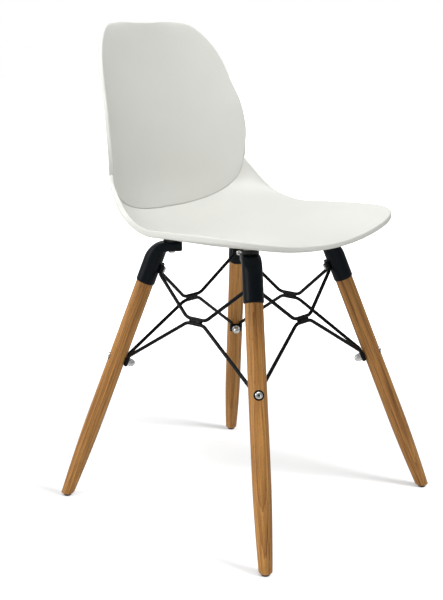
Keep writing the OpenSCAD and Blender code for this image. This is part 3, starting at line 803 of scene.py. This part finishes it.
# ---- Legs ----
def leg_radius(s):
    """The leg's radius at s along its axis from the floor."""
    if s > TAPER_L:
        return LEG_R
    return LEG_R - (LEG_R - FOOT_R) * (1 - max(s, 0) / TAPER_L) ** TAPER_POWER


def floor_cut(angle, height):
    """How far up the axis the leg's surface is at that height above the floor, on the side at that angle."""
    s = height / COS_LEAN
    for _ in range(6):
        s = (height - leg_radius(s) * math.cos(angle) * SIN_LEAN) / COS_LEAN
    return s


def leg_rings(n=96):
    """Rings from the foot, which is cut level with a rounded edge, to the top of the tenon."""
    angles = [2 * math.pi * i / n for i in range(n)]
    start = [floor_cut(a, GLIDE_H + FOOT_ROUND) for a in angles]
    rim, shoulder_edge, tenon_edge = RIM_Z / COS_LEAN, 0.0006, 0.0015
    down = Vector((-SIN_LEAN, 0, -COS_LEAN))
    rings = []
    for share, turn in [(0.45, QUARTER), (0.75, QUARTER)] + [(1, QUARTER * (1 - k / 5)) for k in range(5)]:
        ring = []
        for a, s in zip(angles, start):
            out = (leg_radius(s) - FOOT_ROUND) * share + FOOT_ROUND * (1 - math.sin(turn))
            side = out * Vector((math.cos(a), math.sin(a), 0))
            ring.append(level_with(side, s) + down * FOOT_ROUND * math.sin(turn))
        rings.append(ring)
    for k in range(61):
        rings.append([place_on(a, lerp(s, rim - shoulder_edge, k / 60)) for a, s in zip(angles, start)])
    rings.append(circle(LEG_R - shoulder_edge, rim, n))
    rings.append(circle(TENON_R, rim + 0.0001, n))
    rings.append(circle(TENON_R, rim + TENON_L - tenon_edge, n))
    rings.append(circle(TENON_R - tenon_edge, rim + TENON_L, n))
    return rings


def level_with(side, s):
    """A point beside the axis, on the level plane through the leg's surface at s."""
    height = side.normalized().x * leg_radius(s) * SIN_LEAN + s * COS_LEAN
    return Vector((side.x, side.y, (height - side.x * SIN_LEAN) / COS_LEAN))


def place_on(angle, s):
    """A point on the leg's surface."""
    r = leg_radius(s)
    return Vector((r * math.cos(angle), r * math.sin(angle), s))


def drill(solid, cutters):
    """Cuts round holes across a leg: each cutter is (height on the axis, radius, from, to)."""
    for z, radius, start, end in cutters:
        shape = Shape()
        turn = Matrix.Translation((0, 0, z / COS_LEAN)) @ Matrix.Rotation(QUARTER, 4, "Y")
        shape.skin([circle(radius, start, 64), circle(radius, end, 64)], turn)
        cutter = bpy.data.objects.new("cutter", shape.plain_mesh("cutter"))
        bpy.context.scene.collection.objects.link(cutter)
        cut = solid.modifiers.new("cut", "BOOLEAN")
        cut.operation, cut.solver, cut.object = "DIFFERENCE", "EXACT", cutter
        bpy.context.view_layer.update()
        result = solid.evaluated_get(bpy.context.evaluated_depsgraph_get())
        done = bpy.data.meshes.new_from_object(result)
        solid.modifiers.clear()
        solid.data = done
        bpy.data.objects.remove(cutter)


def build_legs():
    """Four legs from one turned and drilled blank. Each has its own stretch of grain."""
    shape = Shape()
    shape.skin(leg_rings())
    blank = bpy.data.objects.new("leg_blank", shape.plain_mesh("leg"))
    bpy.context.scene.collection.objects.link(blank)
    clear = 2 * LEG_R
    drill(blank, [(BOLT_Z, SPOT_R, SPOT_FACE, clear), (BOLT_Z, LEG_BOLT_R + HOLE_GAP, -clear, clear)])
    for number, corner in enumerate(CORNERS):
        mesh = blank.data.copy()
        place = mesh.attributes.new("leg_place", "FLOAT_VECTOR", "POINT")
        local = np.array([v.co for v in mesh.vertices])
        roll = 1.3 + 1.9 * number
        c, s = math.cos(roll), math.sin(roll)
        turned = local @ np.array([[c, s, 0], [-s, c, 0], [0, 0, 1]])
        place.data.foreach_set("vector", (turned + (0.21 * number, 0.13 * number, 0.7 * number)).ravel())
        mesh.transform(leg_frame(corner))
        finish_piece("beech_leg_" + corner, mesh, WOOD, ["leg_" + corner], sharp=32)
    bpy.data.objects.remove(blank)


build_legs()


# ---- Sockets ----
def oval(outer, inner, half_w, power, n=72):
    """A closed section between an outer and an inner point (x, z): round at power 2, squarer above it."""
    mid = ((outer[0] + inner[0]) / 2, (outer[1] + inner[1]) / 2)
    half = ((outer[0] - inner[0]) / 2, (outer[1] - inner[1]) / 2)
    ring = []
    for i in range(n):
        a = 2 * math.pi * i / n
        c, s = math.cos(a), math.sin(a)
        c = math.copysign(abs(c) ** (2 / power), c)
        s = math.copysign(abs(s) ** (2 / power), s)
        ring.append((mid[0] + half[0] * c, half_w * s, mid[1] + half[1] * c))
    return ring


def tube_ring(r, s):
    """A ring round the leg's axis, s above the socket's rim."""
    x, z = -s * SIN_LEAN, RIM_Z + s * COS_LEAN
    out, up = r * COS_LEAN, r * SIN_LEAN
    return oval((x + out, z + up), (x - out, z - up), r, 2)


def socket_rings():
    """Rings from the top of the bore, over the rim and round the elbow, to the tip of the arm."""
    low, arm_power = ARM_TOP - ARM_H, 5.5
    out_z, in_z = ARM_TOP - ELBOW_R, low - CROOK_R
    out_mid = ((SOCKET_R - ELBOW_R - (out_z - RIM_Z) * SIN_LEAN) / COS_LEAN, out_z)
    in_mid = ((-SOCKET_R - CROOK_R - (in_z - RIM_Z) * SIN_LEAN) / COS_LEAN, in_z)
    outer, inner = arc(out_mid, ELBOW_R, LEAN, QUARTER, 18), arc(in_mid, CROOK_R, LEAN, QUARTER, 18)
    rings = [tube_ring(BORE_R, BORE_L), tube_ring(BORE_R, BORE_L / 2), tube_ring(BORE_R, 0.0005)]
    for turn in np.linspace(0, QUARTER, 6):
        rings.append(tube_ring(BORE_R + RIM_ROUND * math.sin(turn), RIM_ROUND * (1 - math.cos(turn))))
    mid = (-RIM_ROUND * SIN_LEAN, RIM_Z + RIM_ROUND * COS_LEAN)
    start = [(mid[0] + side * SOCKET_R * COS_LEAN, mid[1] + side * SOCKET_R * SIN_LEAN) for side in (1, -1)]
    for t in np.linspace(0, 1, 14)[1:-1]:
        ends = [(lerp(a[0], b[0], t), lerp(a[1], b[1], t)) for a, b in zip(start, (outer[0], inner[0]))]
        rings.append(oval(*ends, SOCKET_R, 2))
    for k, (a, b) in enumerate(zip(outer, inner)):
        t = float(smooth(k / 18))
        rings.append(oval(a, b, lerp(SOCKET_R, ARM_HALF_W, t), lerp(2, arm_power, t ** 1.3)))
    for t in np.linspace(0, 1, 6)[1:]:
        ends = [(lerp(end[0], TIP_R - ARM_REACH, t), end[1]) for end in (outer[-1], inner[-1])]
        rings.append(oval(*ends, ARM_HALF_W, arm_power))
    for turn in np.linspace(0, QUARTER, 6)[1:]:
        x = TIP_R - ARM_REACH - TIP_R * math.sin(turn)
        trim = TIP_R * 0.8 * (1 - math.cos(turn))
        rings.append(oval((x, ARM_TOP - trim * 0.5), (x, low + trim), ARM_HALF_W - trim, arm_power))
    return rings


def build_sockets():
    for corner in CORNERS:
        shape = Shape()
        shape.skin(socket_rings(), socket_frame(corner))
        shape.piece("elbow_socket_" + corner, CAST, "black_socket", ["socket_" + corner], sharp=46)


build_sockets()


# ---- Wire braces ----
WELD_Z = sum(corner.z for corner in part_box("rear_brace_weld")) / 2
WELD_Y = sum(corner.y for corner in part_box("rear_brace_weld")) / 2
WELD_X = sum(corner.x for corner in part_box("left_brace_weld")) / 2
UPPER_HEIGHTS = (0.428, 0.4145)
LOWER_HEIGHTS = (0.2515, 0.268)


def by_leg(z, off, side):
    """A point beside the rear left leg, at the height z on its axis: off is inwards and side is sideways."""
    return leg_frame("rear_left", z) @ Vector((-off, side, 0))


def mid_point(rear, across, rise):
    """A point in the middle of a brace: out sideways by across, and above the weld by rise."""
    if rear:
        return Vector((across, WELD_Y - rise * FACE_LEAN, WELD_Z + rise))
    return Vector((WELD_X - rise * FACE_LEAN, across, WELD_Z + rise))


def bend(a, b, c, r, steps):
    """Points round the corner b of a path, between a and c."""
    u, v = (a - b).normalized(), (c - b).normalized()
    half = u.angle(v) / 2
    centre = b + (u + v).normalized() * r / math.sin(half)
    p = b + u * r / math.tan(half) - centre
    q = b + v * r / math.tan(half) - centre
    turn = math.pi - 2 * half
    return [centre + (math.sin(turn * (1 - i / steps)) * p + math.sin(turn * i / steps) * q) / math.sin(turn)
            for i in range(steps + 1)]


def rod_path(rear, upper):
    """The middle line of a rear or a left rod, from the rear left leg to the leg at its other end."""
    end, corner = UPPER_HEIGHTS if upper else LOWER_HEIGHTS
    off, across = (UPPER_OFF, UPPER_MID) if upper else (LOWER_OFF, LOWER_MID)
    side = ROD_SIDE if rear else -ROD_SIDE
    rise = WELD_GAP / 2 if upper else -WELD_GAP / 2
    a, b = by_leg(end, off, side), by_leg(corner, off, side)
    c, d = mid_point(rear, across, rise), mid_point(rear, -across, rise)
    first = [lerp(a, b, t) for t in (0, 0.25)] + bend(a, b, c, END_BEND_R, 8)
    second = bend(b, c, d, MID_BEND_R, 12)
    straight = [lerp(first[-1], second[0], t) for t in np.linspace(0, 1, 14)[1:-1]]
    half = first + straight + second + [lerp(second[-1], mid_point(rear, 0, rise), 0.5)]
    flip = Vector((-1, 1, 1)) if rear else Vector((1, -1, 1))
    return half + [mid_point(rear, 0, rise)] + [p * flip for p in reversed(half)]


def swept(path, r, n=24):
    """Rings round a path, with rounded ends."""
    tangents = []
    for i in range(len(path)):
        tangents.append((path[min(i + 1, len(path) - 1)] - path[max(i - 1, 0)]).normalized())
    side = tangents[0].orthogonal().normalized()
    rings = []
    for i, (p, t) in enumerate(zip(path, tangents)):
        side = (side - t * side.dot(t)).normalized()
        up = t.cross(side)
        stops = [(0.0, 1.0)]
        if i == 0:
            stops = [(-r * 0.7 * math.cos(k), math.sin(k)) for k in (0.25, 0.6, 0.95, 1.25)] + stops
        if i == len(path) - 1:
            stops = stops + [(r * 0.7 * math.cos(k), math.sin(k)) for k in (1.25, 0.95, 0.6, 0.25)]
        for shift, share in stops:
            rings.append([p + t * shift + r * share * (math.cos(a) * side + math.sin(a) * up)
                          for a in (2 * math.pi * j / n for j in range(n))])
    return rings


def mirrored(points, corner):
    """Points given for the rear left corner, moved to another one."""
    sx, sy = CORNERS[corner]
    return [Vector((p.x * sx, p.y * sy, p.z)) for p in points]


BRACES = {"rear": (True, "rear_left"), "front": (True, "front_left"),
          "left": (False, "rear_left"), "right": (False, "rear_right")}


def build_rods():
    for name, (rear, corner) in BRACES.items():
        for upper in (True, False):
            shape = Shape()
            shape.skin(swept(mirrored(rod_path(rear, upper), corner), ROD_R))
            part = name + ("_brace_upper_rod" if upper else "_brace_lower_rod")
            shape.piece(part.replace("_rod", "_wire"), WIRE, "black_wire", [part], sharp=60)


def weld_rings(seed, length=0.029, n=40, steps=64):
    """A run of overlapping beads along local x, filling the hollow between two rods above each other."""
    rings = []
    for i in range(steps + 1):
        t = i / steps
        x = (t - 0.5) * length
        end = math.sqrt(max(1 - abs(2 * t - 1) ** 5, 0)) * 0.92 + 0.02
        bead = 0.5 + 0.5 * abs(math.sin(math.pi * t * 9 + seed))
        ring = []
        for j in range(n):
            a = 2 * math.pi * j / n
            c, s = math.cos(a), math.sin(a)
            rough = noise.noise(Vector((x * 240 + seed, c * 1.8, s * 1.8)))
            depth = (0.0031 + 0.00035 * bead + 0.00045 * rough) * end
            tall = (0.0049 + 0.00025 * rough) * end
            c = math.copysign(abs(c) ** 0.75, c)
            s = math.copysign(abs(s) ** 0.75, s)
            ring.append((x, depth * c, tall * s))
        rings.append(ring)
    return rings


def build_welds():
    tilt = math.atan(FACE_LEAN)
    for number, (name, (rear, corner)) in enumerate(BRACES.items()):
        sx, sy = CORNERS[corner]
        middle = mid_point(rear, 0, 0)
        turn = Matrix.Rotation(tilt * sy, 4, "X") if rear else (
            Matrix.Rotation(-tilt * sx, 4, "Y") @ Matrix.Rotation(QUARTER, 4, "Z"))
        place = Matrix.Translation((middle.x * sx, middle.y * sy, middle.z)) @ turn
        shape = Shape()
        shape.skin(weld_rings(seed=2.3 * number + 0.7), place)
        shape.piece(name + "_weld_beads", WELDED, "black_wire", [name + "_brace_weld"], sharp=70)


def lug_outline(off, tube_r):
    """A lug's section across the leg: from the rods' outer side in to the round of the leg or socket."""
    outer, side = -(off + ROD_R) + 0.0004, ROD_SIDE - ROD_R * 0.55
    seat_r, round_r = tube_r + 0.0001, 0.0012
    hug = math.asin(side / seat_r)
    inner = [(-seat_r * math.cos(a), seat_r * math.sin(a)) for a in np.linspace(hug, -hug, 13)]
    corner_low = arc((outer + round_r, -side + round_r), round_r, 3 * QUARTER, 2 * QUARTER, 5)
    corner_high = arc((outer + round_r, side - round_r), round_r, 2 * QUARTER, QUARTER, 5)
    return inner + corner_low + corner_high


def build_lugs():
    """A saddle across each pair of rod ends, with rounded ends and a slightly uneven coat."""
    round_r = 0.0011
    turns = np.linspace(0, QUARTER, 5)
    rounds = [(round_r * (1 - math.cos(k)), round_r * (1 - math.sin(k))) for k in turns]
    kinds = (("upper", UPPER_LUG_Z, UPPER_OFF, SOCKET_R), ("lower", LOWER_LUG_Z, LOWER_OFF, LEG_R))
    for kind, (low, high), off, tube_r in kinds:
        outline = lug_outline(off, tube_r)
        mid_x = -(off + tube_r) / 2
        start, end = low / COS_LEAN, high / COS_LEAN
        levels = [(start + rise, trim) for rise, trim in rounds]
        levels += [(lerp(start, end, t), 0.0) for t in (0.3, 0.5, 0.7)]
        levels += [(end - drop, trim) for drop, trim in reversed(rounds)]
        for number, corner in enumerate(CORNERS):
            rings = []
            for z, trim in levels:
                ring = []
                for x, y in outline:
                    wobble = 0.00018 * noise.noise(Vector((x * 500 + number * 3, y * 500, z * 500)))
                    if x < mid_x:
                        x += trim
                    ring.append((x - wobble, y - math.copysign(trim * 0.6, y), z))
                rings.append(ring)
            shape = Shape()
            shape.skin(rings, leg_frame(corner))
            shape.piece(f"{kind}_saddle_{corner}", WELDED, "black_wire", [f"{kind}_lug_{corner}"], sharp=50)


build_rods()
build_welds()
build_lugs()


# ---- Fasteners and feet ----
def head_rings(d, h, key, n=72):
    """A button head from its flat side up, with a hexagon key socket in its crown."""
    r, land, crown = d / 2, 0.32 * h, 0.68 * h
    mouth = key / 2 / math.cos(math.pi / 6)
    top = mouth + 0.0005
    rings = [circle(r - 0.0002, 0, n), circle(r, 0.0002, n), circle(r, land, n)]
    for k in range(1, 9):
        a = QUARTER * k / 8
        rings.append(circle(lerp(r, top, 1 - math.cos(a)), land + crown * math.sin(a), n))
    rings += [hexagon(key + 0.0005, h, n), hexagon(key, h - 0.00025, n), hexagon(key, 0.42 * h, n)]
    return rings


def shank_rings(r, start, end, n=48):
    """A plain shank with a chamfered tip."""
    return [circle(r - 0.0003, start, n), circle(r, start + 0.0003, n), circle(r, end, n)]


def nut_rings(across=0.0125, h=0.005, dome_d=0.012):
    """A domed cap nut from its seat up."""
    corner = across / 2 / math.cos(math.pi / 6)
    rings = [hexagon(across, 0, within=across / 2 - 0.0001), hexagon(across, 0.0005, within=corner + 0.0001),
             hexagon(across, h - 0.0011), hexagon(across, h - 0.0005, within=corner - 0.0004),
             hexagon(across, h, within=across / 2 - 0.0002)]
    base = h - 0.0003
    rings.append(circle(dome_d / 2 - 0.0001, h + 0.00005, 72))
    for k in range(1, 12):
        a = QUARTER * k / 12
        rings.append(circle(dome_d / 2 * math.cos(a), base + dome_d / 2 * math.sin(a), 72))
    return rings


def washer_rings(d, hole, t=WASHER_T, n=64):
    """A flat ring with softened edges."""
    r, edge = d / 2, t * 0.28
    profile = [(hole / 2, edge), (hole / 2 + edge, 0), (r - edge, 0), (r, edge),
               (r, t - edge), (r - edge, t), (hole / 2 + edge, t), (hole / 2, t - edge)]
    return [circle(a, z, n) for a, z in profile]


def cup_rings(rear, bore=0.01115, hole=SEAT_BOLT_R + HOLE_GAP, wall=0.0005):
    """A spacer cup: a floor with the bolt's hole, and a rim round the boss that slants like the shell. Its
    rim hides the white boss, so the gap under the seat's edge shows black as painted shade.
    """
    top, slope = CUP_TOPS[rear]
    floor, top = BOSS_Z - ARM_TOP, top - ARM_TOP
    foot = (hole, wall), (hole + wall, 0), (SPACER_R - wall, 0), (SPACER_R, wall)
    rings = [circle(r, z, 64) for r, z in foot]
    for r, z in ((SPACER_R, top - wall), (SPACER_R - wall, top), (bore + wall, top), (bore, top - wall)):
        rings.append([(x, y, z + x * math.tan(slope)) for x, y, z in circle(r, z, 64)])
    return rings + [circle(r, z, 64) for r, z in ((bore, floor), (hole + wall, floor), (hole, floor - wall))]


def build_fasteners():
    bolts, nuts, screws, seat_bolts = Shape(), Shape(), Shape(), Shape()
    rings = {name: Shape() for name in ("leg_bolt_washers", "cap_nut_washers", "brace_screw_washers",
                                        "seat_bolt_washers", "seat_spacers")}
    arm_low = ARM_TOP - ARM_H
    for corner in CORNERS:
        bolt_out = bolt_frame(corner, BOLT_Z, SPOT_FACE)
        bolt_in = bolt_frame(corner, BOLT_Z, NUT_FACE, inward=True)
        screw_in = bolt_frame(corner, SCREW_Z, SCREW_FACE, inward=True)
        up = Matrix.Translation((0, 0, WASHER_T))
        head_down = seat_bolt_frame(corner, arm_low) @ Matrix.Rotation(math.pi, 4, "X")
        bolts.skin(head_rings(*LEG_BOLT_HEAD), bolt_out @ up)
        bolts.skin(shank_rings(LEG_BOLT_R, NUT_FACE - 0.007 - SPOT_FACE, WASHER_T), bolt_out)
        nuts.skin(nut_rings(), bolt_in @ up)
        screws.skin(head_rings(*SCREW_HEAD), screw_in @ up)
        screws.skin(shank_rings(SCREW_R, SCREW_FACE + 0.004, WASHER_T), screw_in)
        seat_bolts.skin(head_rings(*SEAT_BOLT_HEAD), head_down @ up)
        seat_bolts.skin(shank_rings(SEAT_BOLT_R, arm_low - BOSS_Z - 0.006, WASHER_T), head_down)
        rings["leg_bolt_washers"].skin(washer_rings(*LEG_WASHER), bolt_out, loop=True)
        rings["cap_nut_washers"].skin(washer_rings(*NUT_WASHER), bolt_in, loop=True)
        rings["brace_screw_washers"].skin(washer_rings(*SCREW_WASHER), screw_in, loop=True)
        rings["seat_bolt_washers"].skin(washer_rings(*SEAT_WASHER), head_down, loop=True)
        cup_place = seat_bolt_frame(corner, ARM_TOP)
        rings["seat_spacers"].skin(cup_rings(CORNERS[corner][1] > 0), cup_place, loop=True)
    plated_shapes = {"leg_bolts": bolts, "cap_nuts": nuts, "brace_screws": screws, "seat_bolts": seat_bolts}
    for name, shape in plated_shapes.items():
        shape.piece("plated_" + name, ZINC, "bright_zinc", [name], sharp=34)
    finishes = {"cap_nut_washers": (ZINC, "bright_zinc"), "seat_spacers": (SHADE_BLACK_SPACER, "black_spacer")}
    for name, shape in rings.items():
        material, slot = finishes.get(name, (BLACK_STEEL, "black_washer"))
        shape.piece("edged_" + name, material, slot, [name], sharp=50)


def glide_rings(ball_r=0.0082, ball_z=0.006, n=64):
    """A domed glide with a worn flat underneath, standing on the floor."""
    flat = math.sqrt(ball_r ** 2 - ball_z ** 2)
    rings = [circle(flat - 0.0009, 0, n), circle(flat - 0.0003, 0.0001, n)]
    start = math.asin((0.0005 - ball_z) / ball_r)
    end = math.asin((GLIDE_H - 0.0003 - ball_z) / ball_r)
    for k in range(13):
        a = lerp(start, end, k / 12)
        rings.append(circle(ball_r * math.cos(a), ball_z + ball_r * math.sin(a), n))
    rings.append(circle(ball_r * math.cos(end) - 0.0004, GLIDE_H, n))
    return rings


def build_feet():
    """The glides stand at the record's mounts. The nails and inserts keep their CAD shape."""
    places = {mount["name"]: mount["pos_m"] for mount in frame["record"]["mounts"]}
    for corner in CORNERS:
        shape = Shape()
        shape.skin(glide_rings(), Matrix.Translation(places["foot_" + corner]))
        shape.piece("nylon_glide_" + corner, NYLON, "dark_glide", ["glide_" + corner], sharp=50)
    for name, material in (("glide_nails", ZINC), ("seat_inserts", BRASS)):
        NODES[name].data.materials.clear()
        NODES[name].data.materials.append(material)


build_fasteners()
build_feet()


# ---- Studio ----
def build_floor():
    """A pale floor that glows as painted light: weakly near the chair, lifting the shade under it, and to
    full white away from it. It sends little light back up to the chair.
    """
    material, tree, shader, place = new_material("pale studio floor", Specular_IOR_Level=0.1)
    tone = ramp(tree, cloud(tree, place, 1.5, 2.0), 0.3, 0.7)
    seen = tree.nodes.new("ShaderNodeLightPath").outputs["Is Camera Ray"]
    pale = blend_colour(tree, tone, (0.54, 0.54, 0.54, 1), (0.56, 0.56, 0.56, 1))
    colour = blend_colour(tree, seen, (0.34, 0.34, 0.33, 1), pale)
    dress(tree, shader, colour, between(tree, tone, 0.8, 0.9), cloud(tree, place, 300.0), 0.02, 0.0002)
    # Painted light: the floor's glow fills in the shade under the chair and fades the floor to white further
    # out.
    away = add_node(tree, "ShaderNodeVectorMath", {0: place}, operation="LENGTH").outputs[1]
    glow = blend_colour(tree, ramp(tree, away, 0.6, 1.1), (0.33, 0.33, 0.33, 1), (1, 1, 1, 1))
    glow = blend_colour(tree, seen, (0.1, 0.1, 0.1, 1), glow)
    tree.links.new(glow, shader.inputs["Emission Color"])
    shader.inputs["Emission Strength"].default_value = 1.0
    shape = Shape()
    shape.skin([circle(r, 0, 96) for r in (0.5, 2, 6, 20)], caps=False)
    shape.add(circle(0.5, 0, 96), [list(range(96))])
    mesh = shape.plain_mesh("studio_floor")
    mesh.materials.append(material)
    floor = bpy.data.objects.new("studio_floor", mesh)
    bpy.context.scene.collection.objects.link(floor)
    return floor


def add_light(name, kind, power, place, aim, **settings):
    light = bpy.data.lights.new(name, kind)
    light.energy = power
    for key, value in settings.items():
        setattr(light, key, value)
    made = bpy.data.objects.new(name, light)
    bpy.context.scene.collection.objects.link(made)
    made.location = place
    made.rotation_euler = (Vector(aim) - Vector(place)).to_track_quat("-Z", "Y").to_euler()
    return made


def build_lights(floor):
    """Two softboxes, and a low sun that lights only the floor, for the soft shadows of the legs."""
    middle = (0, 0, 0.45)
    add_light("left softbox", "AREA", 24, (-2.1, 1.3, 1.5), middle, size=1.5)
    add_light("overhead softbox", "AREA", 36, (-0.7, -0.45, 2.7), middle, size=1.35)
    low = add_light("floor light", "SUN", 6.6, (0.2, -0.98, 0.42), (0, 0, 0), angle=math.radians(24))
    only_floor = bpy.data.collections.new("lit by the floor light")
    only_floor.objects.link(floor)
    low.light_linking.receiver_collection = only_floor


def build_world():
    """Brighter above and behind the chair than in front of it, and seen as plain white by the camera."""
    world = bpy.data.worlds.new("studio")
    bpy.context.scene.world = world
    world.use_nodes = True
    tree = world.node_tree
    tree.nodes.clear()
    way = tree.nodes.new("ShaderNodeTexCoord").outputs["Generated"]
    bright = {0: way, 1: (-0.2, 0.55, 0.8)}
    towards = add_node(tree, "ShaderNodeVectorMath", bright, operation="DOT_PRODUCT").outputs[1]
    share = ramp(tree, towards, -0.2, 0.9)
    glow = blend_colour(tree, share, (0.275, 0.275, 0.275, 1), (0.53, 0.53, 0.53, 1))
    seen = tree.nodes.new("ShaderNodeLightPath").outputs["Is Camera Ray"]
    colour = blend_colour(tree, seen, glow, (1, 1, 1, 1))
    back = add_node(tree, "ShaderNodeBackground", {"Color": colour})
    out = tree.nodes.new("ShaderNodeOutputWorld")
    tree.links.new(back.outputs[0], out.inputs[0])


def build_camera():
    """At standing height in front of the chair's right side, looking a little down."""
    azimuth, elevation, roll = math.radians(-48.08), math.radians(13.69), math.radians(-0.54)
    lens = bpy.data.cameras.new("camera")
    lens.sensor_width, lens.lens = 36, 65.72
    made = bpy.data.objects.new("camera", lens)
    bpy.context.scene.collection.objects.link(made)
    ahead = -Vector((math.sin(azimuth) * math.cos(elevation), -math.cos(azimuth) * math.cos(elevation),
                     math.sin(elevation)))
    right = ahead.cross(UP).normalized()
    up = right.cross(ahead)
    side = math.cos(roll) * right + math.sin(roll) * up
    turn = Matrix((side, -math.sin(roll) * right + math.cos(roll) * up, -ahead)).transposed()
    made.matrix_world = Matrix.Translation((-1.40387, -1.20587, 0.8071)) @ turn.to_4x4()
    bpy.context.scene.camera = made


build_lights(build_floor())
build_world()
build_camera()
bpy.context.scene.view_settings.view_transform = "Standard"
